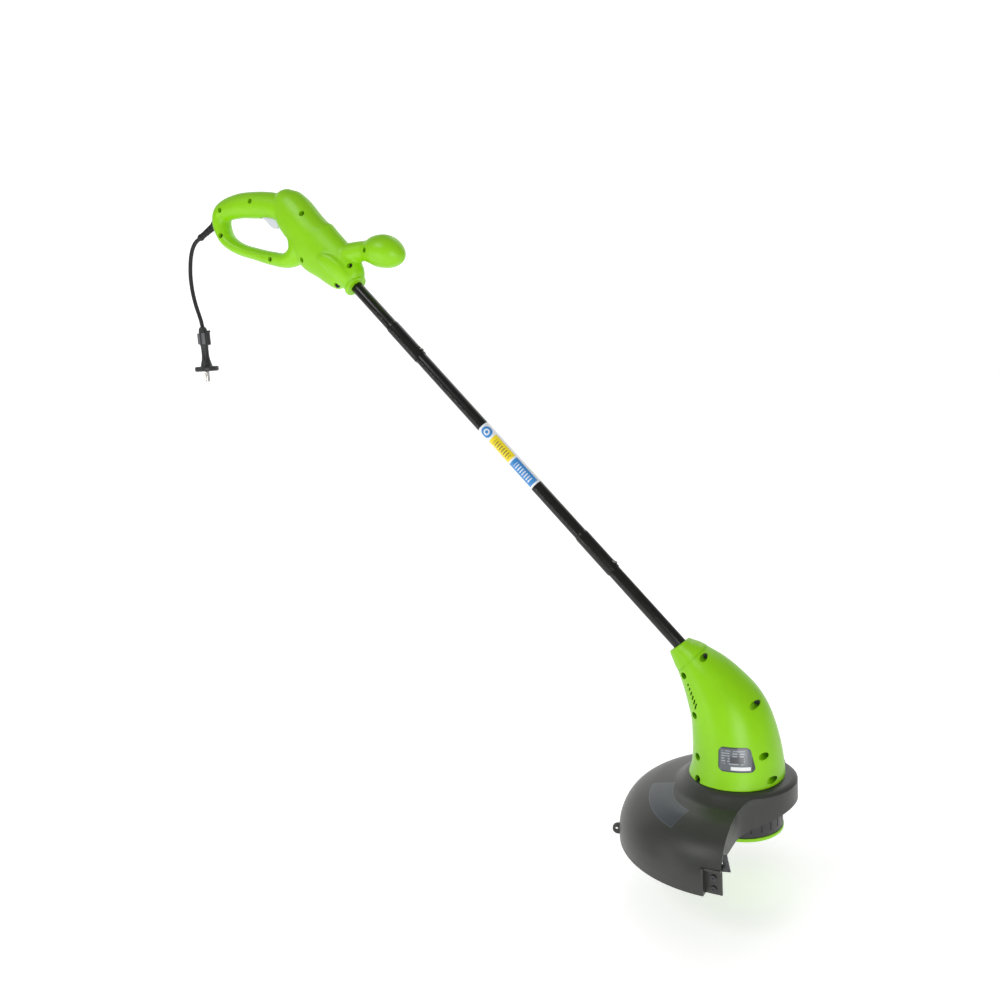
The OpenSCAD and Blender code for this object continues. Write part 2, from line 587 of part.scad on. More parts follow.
// Flat blade whose tip stands ahead of the cut line, at the height where the line comes out
module line_blade() color(steel) in_head() difference() {
    translate([0, -144.7, 0]) rotate([90, 0, 0]) linear_extrude(1.2)
        polygon([[3, 2], [cut_x - 4, 2], [cut_x - 4, 28.6], [cut_x + 10, 30.6], [cut_x + 6, 51],
            [cut_x + 1, 50], [cut_x + 0.6, 38.6], [3, 35]]);
    for (z = blade_screw_z) across(blade_screw_x, z, screw_r + fit, -150, -140);
}
module blade_screws() color(steel) in_head() for (z = blade_screw_z) screw(blade_screw_x, z, tab_y, -142);

// ================= spool head =================
cap_z = [18, 23];                     // bottom and top of the cap's rim
// The hole in the cup's side where the line comes out
module on_port(r) {
    rotate([0, 0, 150]) translate([r, 0, 38]) rotate([0, 90, 0]) children();
}
module spool_housing() color(black) in_head() {
    difference() {
        union() {
            ring_body(cup_r - 2.2, cup_r, cap_z[1] + 0.2, 72);
            ring_body(motor_r, cup_r, 69.5, 72);
            ring_body(motor_r, 9, 57, 80);
        }
        on_port(cup_r - 6) cylinder(r = 3.4, h = 12, $fn = 32);
    }
    ring_body(0, 9, 55, 57);
    for (j = [0, 1]) mirror([0, j, 0]) {
        bar(14, 46, 5.3, 7, 58, 69.5);
        bar(14, 46, 3.5, 7, 58, 59.7);
    }
}
module spool() color(pale_grey) in_head() difference() {
    union() {
        ring_body(7.05, 48, 26, 28.5);
        ring_body(7.05, 48, 46.5, 49);
        ring_body(7.05, 17, 26, 49);
        for (a = [0 : 60 : 300]) rotate([0, 0, a]) bar(22, 27, -2, 2, 49, 51.5);
    }
    for (a = [0 : 60 : 300]) rotate([0, 0, a]) translate([34, 0, 20]) cylinder(r = 5, h = 9, $fn = 32);
}
module line_winding() color("orange") in_head() for (i = [0 : 3])
    ring_body(17.05, 38 + (i % 2), 28.7 + 4.4 * i, 33 + 4.4 * i);
module line_eyelet() color(steel) in_head() on_port(cup_r - 3.4)
    difference() {
        union() {
            cylinder(r = 3.38, h = 4.6, $fn = 32);
            translate([0, 0, 3.6]) cylinder(r = 4.4, h = 1, $fn = 32);
        }
        translate([0, 0, -1]) cylinder(r = 1.8, h = 8, $fn = 32);
    }
module feed_lever() color(lime) in_head() {
    bar(16, 42, -4.9, 4.9, 60, 69.2);
    bar(30, 33, -3, 3, 50, 60);
}
module spool_spring() color(steel) in_head() coil(11.6, 0.6, 49.1, 69.4, 5);
module spool_cap() color(lime) in_head() {
    ring_body(7, cup_r + 0.8, cap_z[0], cap_z[0] + 2.2);
    ring_body(cup_r - 1.6, cup_r + 0.8, cap_z[0], cap_z[1]);
    translate([0, 0, cap_z[0]]) cylinder(r = 7, h = 33, $fn = 64);
    for (a = [0 : 60 : 300]) rotate([0, 0, a]) bar(18, 44, -1.2, 1.2, cap_z[0] - 1.6, cap_z[0] + 0.1);
}

handle_shell_right();
handle_shell_left();
handle_screws();
trigger();
trigger_pin();
trigger_spring();
switch_body();
switch_plunger();
capacitor();
switch_leads();
shaft_leads();
cord_gland();
cord_tail();
cord_clamp();
cord_clamp_screws();
power_cord();
plug_body();
plug_clip();
plug_pins();
upper_tube();
middle_tube();
lower_tube();
snap_button_upper();
snap_button_lower();
snap_spring_upper();
snap_spring_lower();
shaft_label();
shaft_cable();
motor_housing_right();
motor_housing_left();
housing_screws();
rating_plate();
motor_mount();
stator_core();
field_coils();
armature_core();
armature_windings();
commutator();
motor_shaft();
upper_bearing();
lower_bearing();
cooling_fan();
brush_bridge();
brush_holders();
carbon_brushes();
brush_springs();
motor_leads();
guard();
guard_screws();
line_blade();
blade_screws();
spool_housing();
spool();
line_winding();
line_eyelet();
feed_lever();
spool_spring();
spool_cap();
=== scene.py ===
# Looks for the string trimmer: moulded shells, painted tubes, guard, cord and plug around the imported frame.
import json
import math

import bmesh
import bpy
import numpy as np
from mathutils import Matrix, Vector


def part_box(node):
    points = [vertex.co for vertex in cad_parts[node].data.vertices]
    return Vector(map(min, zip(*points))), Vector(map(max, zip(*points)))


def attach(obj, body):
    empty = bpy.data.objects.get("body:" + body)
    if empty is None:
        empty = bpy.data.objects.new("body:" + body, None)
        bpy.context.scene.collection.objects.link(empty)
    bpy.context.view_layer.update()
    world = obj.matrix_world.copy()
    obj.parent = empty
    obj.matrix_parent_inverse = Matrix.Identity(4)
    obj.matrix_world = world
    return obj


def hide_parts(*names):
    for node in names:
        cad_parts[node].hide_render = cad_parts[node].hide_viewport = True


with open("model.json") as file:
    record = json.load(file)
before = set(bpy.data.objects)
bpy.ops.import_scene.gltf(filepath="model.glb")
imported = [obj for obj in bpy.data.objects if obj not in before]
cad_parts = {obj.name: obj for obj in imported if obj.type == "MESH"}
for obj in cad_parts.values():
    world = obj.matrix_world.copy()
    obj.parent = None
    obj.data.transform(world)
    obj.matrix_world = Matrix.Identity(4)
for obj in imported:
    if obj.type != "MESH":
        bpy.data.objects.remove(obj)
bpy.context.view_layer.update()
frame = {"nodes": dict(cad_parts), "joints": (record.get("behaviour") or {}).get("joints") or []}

mm = 0.001
scene = bpy.context.scene
joints = {j["name"]: j for j in frame["joints"]}

# the frame's own places
headAxis = Vector((joints["head_spin"]["pos_m"][0], 0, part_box("guard")[0].z))
pressWay = Vector(joints["snap_button_upper_press"]["axis"])
shaftUp = -pressWay
shaftDown = Vector((shaftUp.z, 0, -shaftUp.x))
socket = Vector((194.5, 0, -138)) * mm
inHead = Matrix.Translation(headAxis)
neck = Vector((-76.9, 0, 254.4)) * mm  # where the shaft meets the motor housing, from the head's centre
onShaft = Matrix.Translation(socket) @ Matrix((
    (shaftDown.x, 0, shaftUp.x, 0), (0, 1, 0, 0), (shaftDown.z, 0, shaftUp.z, 0), (0, 0, 0, 1)))
onNeck = inHead @ Matrix.Translation(neck) @ onShaft.to_3x3().to_4x4()
alongX = Matrix.Rotation(math.pi / 2, 4, "Y")  # turns a lathed piece's Z to X


# ---- camera ----
view = {"azimuth": 30.4, "elevation": 9.1, "roll": -3.6, "distance": 1.41, "target": (0.4154, 0, -0.4504),
        "lens": 36, "sensor": 36, "farthest": 30}


def makeCamera(v):
    a, e, r = (math.radians(v[k]) for k in ("azimuth", "elevation", "roll"))
    back = Vector((math.sin(a) * math.cos(e), -math.cos(a) * math.cos(e), math.sin(e)))
    right = Vector((math.cos(a), math.sin(a), 0))
    up = back.cross(right)
    turnedRight = math.cos(r) * right + math.sin(r) * up
    turnedUp = back.cross(turnedRight)
    lens = bpy.data.cameras.new("camera")
    lens.lens, lens.sensor_width, lens.clip_end = v["lens"], v["sensor"], v["farthest"]
    camera = bpy.data.objects.new("camera", lens)
    scene.collection.objects.link(camera)
    spot = Vector(v["target"]) + v["distance"] * back
    turned = Matrix((turnedRight, turnedUp, back)).transposed().to_4x4()
    camera.matrix_world = Matrix.Translation(spot) @ turned
    scene.camera = camera


makeCamera(view)


# ---- shader tools ----
class Wire:
    def __init__(self, tree, socket):
        self.tree, self.socket = tree, socket

    def maths(self, operation, *others):
        node = self.tree.nodes.new("ShaderNodeMath")
        node.operation = operation
        for slot, item in zip(node.inputs, others):
            if isinstance(item, Wire):
                self.tree.links.new(item.socket, slot)
            else:
                slot.default_value = item
        return Wire(self.tree, node.outputs[0])

    def __add__(self, other):
        return self.maths("ADD", self, other)

    def __radd__(self, other):
        return self.maths("ADD", other, self)

    def __sub__(self, other):
        return self.maths("SUBTRACT", self, other)

    def __rsub__(self, other):
        return self.maths("SUBTRACT", other, self)

    def __mul__(self, other):
        return self.maths("MULTIPLY", self, other)

    def __rmul__(self, other):
        return self.maths("MULTIPLY", other, self)


class Finish:
    def __init__(self, name, **settings):
        self.material = bpy.data.materials.new(name)
        self.material.use_nodes = True
        self.tree = self.material.node_tree
        self.shader = self.tree.nodes["Principled BSDF"]
        for key, value in settings.items():
            self.shader.inputs[key.replace("_", " ")].default_value = value
        self.place = self.node("ShaderNodeTexCoord", output="Object")

    def node(self, kind, settings=None, output=0, **inputs):
        node = self.tree.nodes.new(kind)
        for key, value in (settings or {}).items():
            setattr(node, key, value)
        for key, value in inputs.items():  # n0, n1 and so on are sockets by number
            slot = node.inputs[int(key[1:])] if key[0] == "n" and key[1:].isdigit() else node.inputs[key]
            if isinstance(value, Wire):
                self.tree.links.new(value.socket, slot)
            else:
                slot.default_value = value
        return Wire(self.tree, node.outputs[output])

    def noise(self, size, detail=4, rough=0.5, stretch=None):
        spot = self.place
        if stretch:
            spot = self.node("ShaderNodeVectorMath", {"operation": "MULTIPLY"}, n0=spot, n1=stretch)
        return self.node("ShaderNodeTexNoise", Vector=spot, Scale=1 / size, Detail=detail, Roughness=rough)

    def along(self, way, start=(0, 0, 0)):
        away = self.node("ShaderNodeVectorMath", {"operation": "SUBTRACT"}, n0=self.place, n1=start)
        return self.node("ShaderNodeVectorMath", {"operation": "DOT_PRODUCT"}, output=1, n0=away, n1=way)

    def mix(self, share, first, second):
        node = self.tree.nodes.new("ShaderNodeMix")
        node.data_type = "RGBA"
        for slot, item in ((node.inputs[0], share), (node.inputs[6], first), (node.inputs[7], second)):
            if isinstance(item, Wire):
                self.tree.links.new(item.socket, slot)
            else:
                slot.default_value = (*item, 1) if isinstance(item, tuple) else item
        return Wire(self.tree, node.outputs[2])

    def step(self, value, low, high):
        return self.node("ShaderNodeMapRange", {"clamp": True}, n0=value, n1=low, n2=high)

    def within(self, value, low, high, edge=0.0001):
        return self.step(value, low - edge, low + edge) * (1 - self.step(value, high - edge, high + edge))

    def bump(self, height, strength, distance=0.0002):
        return self.node("ShaderNodeBump", Height=height, Strength=strength, Distance=distance)

    def feed(self, **wires):
        for key, wire in wires.items():
            self.tree.links.new(wire.socket, self.shader.inputs[key.replace("_", " ")])
        return self.material


def mouldedPlastic(name, colour, rough, grain, shade, gloss=0.5):
    f = Finish(name, Specular_IOR_Level=gloss)
    cloud = f.noise(0.05, 3)
    fine = f.noise(0.0006, 2)
    base = f.mix(f.step(cloud, 0.35, 0.65), tuple(c * shade for c in colour), colour)
    return f, base, rough + 0.08 * (cloud - 0.5) + 0.06 * (fine - 0.5), f.bump(fine, grain, 0.0001)


def plainPlastic(name, colour, rough=0.4, grain=0.12, shade=0.88):
    f, base, shine, relief = mouldedPlastic(name, colour, rough, grain, shade)
    return f.feed(Base_Color=base, Roughness=shine, Normal=relief)


def bareMetal(name, colour, rough=0.28, brush=(1, 1, 14)):
    f = Finish(name, Metallic=1.0)
    lines = f.noise(0.0012, 3, stretch=brush)
    cloud = f.noise(0.01, 3)
    base = f.mix(cloud, tuple(c * 0.8 for c in colour), colour)
    shine = rough + 0.18 * (lines - 0.5)
    return f.feed(Base_Color=base, Roughness=shine, Normal=f.bump(lines, 0.12, 0.00005))


def blackPaint(name, colour=(0.006, 0.0056, 0.0052)):
    f = Finish(name, Specular_IOR_Level=0.3, Coat_Weight=0.16, Coat_Roughness=0.08)
    peel = f.noise(0.0022, 2)
    dust = f.noise(0.018, 5, 0.6)
    base = f.mix(f.step(dust, 0.45, 0.8), colour, tuple(c * 1.7 for c in colour))
    return f.feed(Base_Color=base, Roughness=0.17 + 0.12 * dust, Normal=f.bump(peel, 0.07, 0.0001))


def rubber(name, colour=(0.012, 0.012, 0.013), rough=0.55):
    f = Finish(name, Specular_IOR_Level=0.4)
    skin = f.noise(0.0009, 3)
    cloud = f.noise(0.02, 3)
    base = f.mix(f.step(cloud, 0.4, 0.7), colour, tuple(c * 1.6 for c in colour))
    return f.feed(Base_Color=base, Roughness=rough + 0.12 * (cloud - 0.5), Normal=f.bump(skin, 0.2, 0.0001))


def windings(name, colour, pitch=0.0011):
    f = Finish(name, Metallic=0.85)
    wave = f.node("ShaderNodeTexWave", {"bands_direction": "DIAGONAL"},
                  Vector=f.place, Scale=0.3 / pitch, Distortion=1.5, Detail=1.0)
    base = f.mix(wave, tuple(c * 0.45 for c in colour), colour)
    return f.feed(Base_Color=base, Roughness=0.3 + 0.2 * wave, Normal=f.bump(wave, 0.6, 0.0003))


limeColour = (0.27, 0.66, 0.0)


def limeShell(name):
    f, base, shine, relief = mouldedPlastic(name, limeColour, 0.34, 0.1, 0.93, 0.38)
    flow = f.noise(0.3, 2)
    worn = f.mix(f.step(flow, 0.4, 0.7) * 0.25, base, (0.3, 0.7, 0.015))
    return f.feed(Base_Color=worn, Roughness=shine, Normal=relief)


decal = {"middle": (-5 * mm, -33 * mm, 0), "inner": 70 * mm, "outer": 101 * mm, "rim": 0.9 * mm,
         "rimTurn": 0.009, "start": math.radians(-178), "end": math.radians(-116), "soft": 0.002}


def guardPlastic(name):
    f, base, shine, relief = mouldedPlastic(name, (0.036, 0.038, 0.032), 0.4, 0.25, 0.82)
    d = decal
    middle = tuple(headAxis + Vector(d["middle"]))
    x = f.along((1, 0, 0), middle)
    y = f.along((0, 1, 0), middle)
    reach = f.node("ShaderNodeMath", {"operation": "SQRT"}, n0=x * x + y * y)
    turn = f.node("ShaderNodeMath", {"operation": "ARCTAN2"}, n0=y, n1=x)
    fan = f.within(reach, d["inner"], d["outer"]) * f.within(turn, d["start"], d["end"], d["soft"])
    field = f.within(reach, d["inner"] + d["rim"], d["outer"] - d["rim"])
    field = field * f.within(turn, d["start"] + d["rimTurn"], d["end"] - d["rimTurn"], d["soft"])
    rim = fan - field
    coloured = f.mix(fan * 0.75, base, (0.055, 0.066, 0.082))
    edged = f.mix(rim * 0.45, coloured, (0.12, 0.14, 0.16))
    scuff = f.noise(0.006, 6, 0.7, stretch=(1, 1, 5))
    marks = f.step(scuff, 0.66, 0.8) * 0.25
    scuffed = f.mix(marks, edged, (0.13, 0.13, 0.12))
    return f.feed(Base_Color=scuffed, Roughness=shine - 0.1 * fan + 0.2 * marks, Normal=relief)


wrap = {"start": 290 * mm, "end": 404 * mm, "half": 8 * mm, "disc": 301.5 * mm, "discR": 8.4 * mm,
        "yellow": (313 * mm, 354 * mm), "yellowBars": (319 * mm, 350 * mm),
        "blue": (357 * mm, 401 * mm), "blueBars": (363 * mm, 396 * mm), "bar": 2.2 * mm,
        "radius": 9.2 * mm, "facing": math.radians(17)}


def shaftWrap(name):
    f = Finish(name, Specular_IOR_Level=0.5, Coat_Weight=0.4, Coat_Roughness=0.08)
    s = f.along(tuple(shaftDown), tuple(socket))
    up = f.along(tuple(shaftUp), tuple(socket))
    out = f.along((0, -1, 0), tuple(socket))
    w = wrap
    turn = f.node("ShaderNodeMath", {"operation": "ARCTAN2"}, n0=up, n1=out)
    h = (turn - w["facing"]) * w["radius"]  # the way round, along the arc
    front = f.within(h, -w["half"], w["half"])
    blocks = {"yellow": (0.88, 0.70, 0.01), "blue": (0.03, 0.24, 0.60), "ink": (0.03, 0.03, 0.03)}
    white = (0.8, 0.82, 0.84)
    look = f.mix(f.within(s, *w["yellow"]) * front, white, blocks["yellow"])
    look = f.mix(f.within(s, *w["blue"]) * front, look, blocks["blue"])
    fromDisc = s - w["disc"]
    disc = 1 - f.step(fromDisc * fromDisc + h * h, w["discR"] ** 2 * 0.93, w["discR"] ** 2 * 1.07)
    look = f.mix(disc, look, blocks["blue"])
    ring = f.within(fromDisc * fromDisc + h * h, (w["discR"] * 0.3) ** 2, (w["discR"] * 0.55) ** 2, 8e-7)
    look = f.mix(ring, look, white)
    bars = f.node("ShaderNodeMath", {"operation": "PINGPONG"}, n0=s, n1=w["bar"])
    lines = f.step(bars, w["bar"] * 0.55, w["bar"] * 0.65) * f.within(h, -w["half"] * 0.6, w["half"] * 0.45)
    look = f.mix(lines * f.within(s, *w["yellowBars"]) * 0.8, look, blocks["ink"])
    look = f.mix(lines * f.within(s, *w["blueBars"]) * 0.85, look, white)
    dirt = f.noise(0.01, 4)
    look = f.mix(f.step(dirt, 0.5, 0.9) * 0.2, look, (0.4, 0.4, 0.4))
    return f.feed(Base_Color=look, Roughness=0.25 + 0.15 * dirt, Normal=f.bump(dirt, 0.05))


# areas are left, right, low and high on the housing's right side, in mm from the head's centre
plate = {"outline": [(12, 143.5), (24, 143.5), (28, 140.5), (34, 117), (31, 113), (-6, 113), (-10, 117),
                     (-10, 139), (-6, 143.5), (12, 143.5)],
         "field": (-8.4, 30, 114.6, 141.9), "words": (-6, 22, 122, 139.5), "stamp": (5, 21, 124, 132),
         "strip": (6, 29, 115.5, 119.8), "row": 1.6 * mm}


def ratingFilm(name):
    f = Finish(name, Specular_IOR_Level=0.5, Coat_Weight=0.5, Coat_Roughness=0.1)
    x = f.along((1, 0, 0), tuple(headAxis))
    z = f.along((0, 0, 1), tuple(headAxis))

    def area(key):
        left, right, low, high = (v * mm for v in plate[key])
        return f.within(x, left, right) * f.within(z, low, high)

    look = f.mix(area("field"), (0.03, 0.034, 0.04), (0.1, 0.115, 0.13))
    row = f.node("ShaderNodeMath", {"operation": "PINGPONG"}, n0=z, n1=plate["row"])
    words = f.step(f.noise(0.004, 2, stretch=(1, 1, 0.2)), 0.46, 0.5)
    lines = f.step(row, plate["row"] * 0.5, plate["row"] * 0.62) * words
    look = f.mix(lines * area("words"), look, (0.34, 0.37, 0.41))
    look = f.mix(area("stamp"), look, (0.045, 0.05, 0.06))
    look = f.mix(area("strip"), look, (0.78, 0.79, 0.8))
    cloud = f.noise(0.02, 2)
    return f.feed(Base_Color=look, Roughness=0.28 + 0.1 * cloud, Normal=f.bump(cloud, 0.04))


finishes = {
    "lime": limeShell("limePlastic"),
    "guard": guardPlastic("guardPlastic"),
    "black": plainPlastic("blackPlastic", (0.014, 0.014, 0.015), 0.42, 0.2),
    "cup": plainPlastic("spoolCupPlastic", (0.022, 0.022, 0.024), 0.4, 0.2),
    "grey": plainPlastic("greyPlastic", (0.68, 0.70, 0.77), 0.38, 0.1, 0.94),
    "paint": blackPaint("blackPaint"),
    "steel": bareMetal("steel", (0.62, 0.62, 0.64)),
    "darkSteel": bareMetal("darkSteel", (0.09, 0.09, 0.095), 0.4),
    "copper": windings("copperWire", (0.78, 0.36, 0.16)),
    "bareCopper": bareMetal("bareCopper", (0.82, 0.44, 0.26), 0.24),
    "brass": bareMetal("brass", (0.8, 0.62, 0.3), 0.22),
    "nickel": bareMetal("nickel", (0.78, 0.76, 0.72), 0.18),
    "rubber": rubber("cordRubber"),
    "plug": plainPlastic("plugPlastic", (0.03, 0.03, 0.033), 0.42, 0.15, 0.8),
    "plugFace": plainPlastic("plugFacePlastic", (0.16, 0.16, 0.17), 0.4, 0.15),
    "wrap": shaftWrap("shaftWrap"),
    "rating": ratingFilm("ratingFilm"),
    "carbon": plainPlastic("carbon", (0.02, 0.02, 0.022), 0.6, 0.3),
    "lead": plainPlastic("leadInsulation", (0.05, 0.12, 0.3), 0.4),
    "line": plainPlastic("trimmerLine", (0.85, 0.28, 0.02), 0.3),
}
print("finishes made:", len(finishes))


# ---- mesh tools ----
def newPiece(name, points, faces):
    mesh = bpy.data.meshes.new(name)
    mesh.from_pydata([tuple(p) for p in points], [], faces)
    piece = bpy.data.objects.new(name, mesh)
    scene.collection.objects.link(piece)
    return clean(piece)


def clean(piece, join=1e-7):
    work = bmesh.new()
    work.from_mesh(piece.data)
    bmesh.ops.remove_doubles(work, verts=work.verts, dist=join)
    bmesh.ops.recalc_face_normals(work, faces=work.faces)
    work.to_mesh(piece.data)
    work.free()
    return piece


def settle(piece):
    graph = bpy.context.evaluated_depsgraph_get()
    mesh = bpy.data.meshes.new_from_object(piece.evaluated_get(graph))
    piece.modifiers.clear()
    piece.data = mesh
    return piece


def modify(piece, kind, **settings):
    change = piece.modifiers.new(kind.lower(), kind)
    for key, value in settings.items():
        setattr(change, key, value)
    return settle(piece)


def combine(piece, operation, *others):
    for other in others:
        change = piece.modifiers.new("combine", "BOOLEAN")
        change.operation, change.solver, change.object = operation, "MANIFOLD", other
    settle(piece)
    for other in others:
        bpy.data.objects.remove(other)
    return piece


def cut(piece, *others):
    return combine(piece, "DIFFERENCE", *others)


def weld(piece, *others):
    return combine(piece, "UNION", *others)


def keepInside(piece, other):
    return combine(piece, "INTERSECT", other)


def copyOf(piece, name):
    twin = bpy.data.objects.new(name, piece.data.copy())
    scene.collection.objects.link(twin)
    return twin


def moved(piece, matrix):
    piece.data.transform(matrix)
    return piece


def block(name, low, high, rounding=0, matrix=None):
    low, high = Vector(low), Vector(high)
    corners = [(x, y, z) for x in (low.x, high.x) for y in (low.y, high.y) for z in (low.z, high.z)]
    faces = [(0, 1, 3, 2), (4, 6, 7, 5), (0, 4, 5, 1), (2, 3, 7, 6), (0, 2, 6, 4), (1, 5, 7, 3)]
    piece = newPiece(name, corners, faces)
    if rounding:
        modify(piece, "BEVEL", width=rounding, segments=4, limit_method="NONE")
    return moved(piece, matrix) if matrix else piece


def boxOf(name, corners, rounding=0, matrix=None):
    low, high = (Vector(c) * mm for c in corners)
    return block(name, low, high, rounding, matrix)


def prism(name, outline, low, high, matrix=None, rounding=0, segments=3):
    count = len(outline)
    points = [(x, y, z) for z in (low, high) for x, y in outline]
    sides = [(i, (i + 1) % count, (i + 1) % count + count, i + count) for i in range(count)]
    piece = newPiece(name, points, sides + [tuple(range(count)), tuple(range(count, 2 * count))])
    if rounding:
        modify(piece, "BEVEL", width=rounding, segments=segments, limit_method="ANGLE",
               angle_limit=math.radians(35))
    return moved(piece, matrix) if matrix else piece


def rounded(profile, radius, steps=4):
    points = [Vector(p) for p in profile]
    out = [points[0]]
    for before, corner, after in zip(points, points[1:], points[2:]):
        reach = min(radius, (corner - before).length * 0.45, (after - corner).length * 0.45)
        start = corner + (before - corner).normalized() * reach
        end = corner + (after - corner).normalized() * reach
        for i in range(steps + 1):
            t = i / steps
            out.append(start.lerp(corner, t).lerp(corner.lerp(end, t), t))
    return [tuple(p) for p in out + [points[-1]]]


def lathe(name, profile, matrix=None, around=96, closed=False):
    points, faces, rows = [], [], []
    for r, z in profile:
        if r < 1e-7:
            rows.append([len(points)] * around)
            points.append((0, 0, z))
        else:
            rows.append(list(range(len(points), len(points) + around)))
            points += [(r * math.cos(2 * math.pi * k / around), r * math.sin(2 * math.pi * k / around), z)
                       for k in range(around)]
    pairs = list(zip(rows, rows[1:])) + ([(rows[-1], rows[0])] if closed else [])
    for a, b in pairs:
        for k in range(around):
            after = (k + 1) % around
            face = []
            for v in (a[k], a[after], b[after], b[k]):
                if v not in face:
                    face.append(v)
            if len(face) > 2:
                faces.append(tuple(face))
    piece = newPiece(name, points, faces)
    return moved(piece, matrix) if matrix else piece


def rod(name, radius, start, end, around=48):
    start, end = Vector(start), Vector(end)
    turn = (end - start).to_track_quat("Z", "Y").to_matrix().to_4x4()
    length = (end - start).length
    line = [(0, 0), (radius, 0), (radius, length), (0, length)]
    return lathe(name, line, Matrix.Translation(start) @ turn, around)


def smoothLine(stations, steps, closed=False):
    rows, out = np.array(stations, float), []
    count = len(rows)
    for i in range(count if closed else count - 1):
        near = [(i + k) % count if closed else min(max(i + k, 0), count - 1) for k in (-1, 0, 1, 2)]
        a, b, c, d = rows[near]
        for t in np.arange(steps) / steps:
            spot = 2 * b + (c - a) * t + (2 * a - 5 * b + 4 * c - d) * t**2
            out.append(0.5 * (spot + (3 * b - a - 3 * c + d) * t**3))
    return np.array(out if closed else out + [rows[-1]])


def squared(wave, power):
    return np.sign(wave) * np.abs(wave) ** power


def sweep(name, stations, steps=8, closed=False, matrix=None, around=64, power=1):
    line = smoothLine(stations, steps, closed)
    count = len(line)
    rings = []
    for i, (x, z, wide, deep) in enumerate(line):
        ahead = line[(i + 1) % count] if closed else line[min(i + 1, count - 1)]
        behind = line[i - 1] if closed or i else line[0]
        way = (ahead - behind)[:2]
        way = way / np.linalg.norm(way)
        turn = 2 * np.pi * np.arange(around) / around
        reach = wide * squared(np.cos(turn), power)
        side = deep * squared(np.sin(turn), power)
        rings.append(np.stack([x - way[1] * reach, side, z + way[0] * reach], 1) * mm)
    return skin(name, rings, closed, matrix)


def skin(name, rings, closed=False, matrix=None):
    count, around = len(rings), len(rings[0])
    faces = []
    for i in range(count if closed else count - 1):
        j = (i + 1) % count
        a, b = i * around, j * around
        faces += [(a + k, a + (k + 1) % around, b + (k + 1) % around, b + k) for k in range(around)]
    if not closed:
        faces += [tuple(range(around)), tuple(range((count - 1) * around, count * around))]
    piece = newPiece(name, [p for ring in rings for p in ring], faces)
    return moved(piece, matrix) if matrix else piece


def melt(name, forms, voxel, softness):
    work = bmesh.new()
    for form in forms:
        work.from_mesh(form.data)
        bpy.data.objects.remove(form)
    mesh = bpy.data.meshes.new(name)
    work.to_mesh(mesh)
    work.free()
    piece = bpy.data.objects.new(name, mesh)
    scene.collection.objects.link(piece)
    piece.modifiers.new("remesh", "REMESH").voxel_size = voxel
    soften = piece.modifiers.new("soften", "SMOOTH")
    soften.factor, soften.iterations = 0.5, softness
    return settle(piece)


def thinner(piece, name, wall, voxel):
    inner = copyOf(piece, name)
    inner.modifiers.new("inward", "DISPLACE").strength = -wall
    inner.modifiers["inward"].mid_level = 0
    inner.modifiers.new("remesh", "REMESH").voxel_size = voxel
    return settle(inner)


def done(piece, finish, body, replaces=(), sharp=32):
    piece.data.materials.clear()
    piece.data.materials.append(finishes[finish])
    piece.data.polygons.foreach_set("use_smooth", [True] * len(piece.data.polygons))
    piece.data.set_sharp_from_angle(angle=math.radians(sharp))
    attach(piece, body)
    if replaces:
        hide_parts(*replaces)
    return piece


# ---- cord ----
cord = {"diameter": 6.4 * mm, "tilt": math.radians(25), "exit": (-73, -19), "boot": 44, "length": 0.1515,
        "route": [(-119, -40.5), (-125, -44.5), (-130.5, -51), (-135, -59.5), (-138.5, -70), (-141, -82),
                  (-142.5, -95), (-142.5, -108), (-141.5, -121), (-139.5, -133), (-136.5, -145), (-133, -156),
                  (-130, -166), (-128, -177)]}
bootWay = Vector((-math.cos(cord["tilt"]), 0, -math.sin(cord["tilt"])))
bootStart = Vector((cord["exit"][0], 0, cord["exit"][1])) * mm
onBoot = Matrix.Translation(bootStart) @ bootWay.to_track_quat("Z", "Y").to_matrix().to_4x4()
plugTop = Vector((cord["route"][-1][0], 0, cord["route"][-1][1])) * mm
onPlug = Matrix.Translation(plugTop)


def makeCord():
    c = cord
    tip = bootStart + bootWay * c["boot"] * mm
    stops = [tip] + [Vector((x, 0, z)) * mm for x, z in c["route"]]
    curve = bpy.data.curves.new("cordCurve", "CURVE")
    curve.dimensions = "3D"
    curve.bevel_depth, curve.bevel_resolution, curve.resolution_u = c["diameter"] / 2, 8, 8
    curve.use_fill_caps = True
    line = curve.splines.new("BEZIER")
    line.bezier_points.add(len(stops) - 1)
    for i, (point, spot) in enumerate(zip(line.bezier_points, stops)):
        ahead, behind = stops[min(i + 1, len(stops) - 1)], stops[max(i - 1, 0)]
        way = (ahead - behind).normalized()
        if i == 0:
            way = bootWay
        point.co = spot
        point.handle_left = spot - way * (spot - behind).length / 3
        point.handle_right = spot + way * (ahead - spot).length / 3
    piece = bpy.data.objects.new("cord", curve)
    scene.collection.objects.link(piece)
    curve.materials.append(finishes["rubber"])
    print("cord measures", round(line.calc_length(), 5))
    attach(piece, "root")
    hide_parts("power_cord")
    return piece, tip


boot = {"ribs": 7, "firstRib": 7.4, "pitch": 4.3, "ribR": 5.75, "taper": 0.17, "groove": 1.0,
        "foot": [(0, -6.5), (7.5, -6.5), (7.5, -4), (5.1, -4), (5.1, 0.5), (7.2, 0.5), (7.2, 5), (6.3, 5.8),
                 (5.1, 6.2)],
        "slotFrom": 3.6, "slotTo": 9, "slotHalf": 2.6, "slotBase": 11.1, "slotSpan": (-0.75, 0.45)}


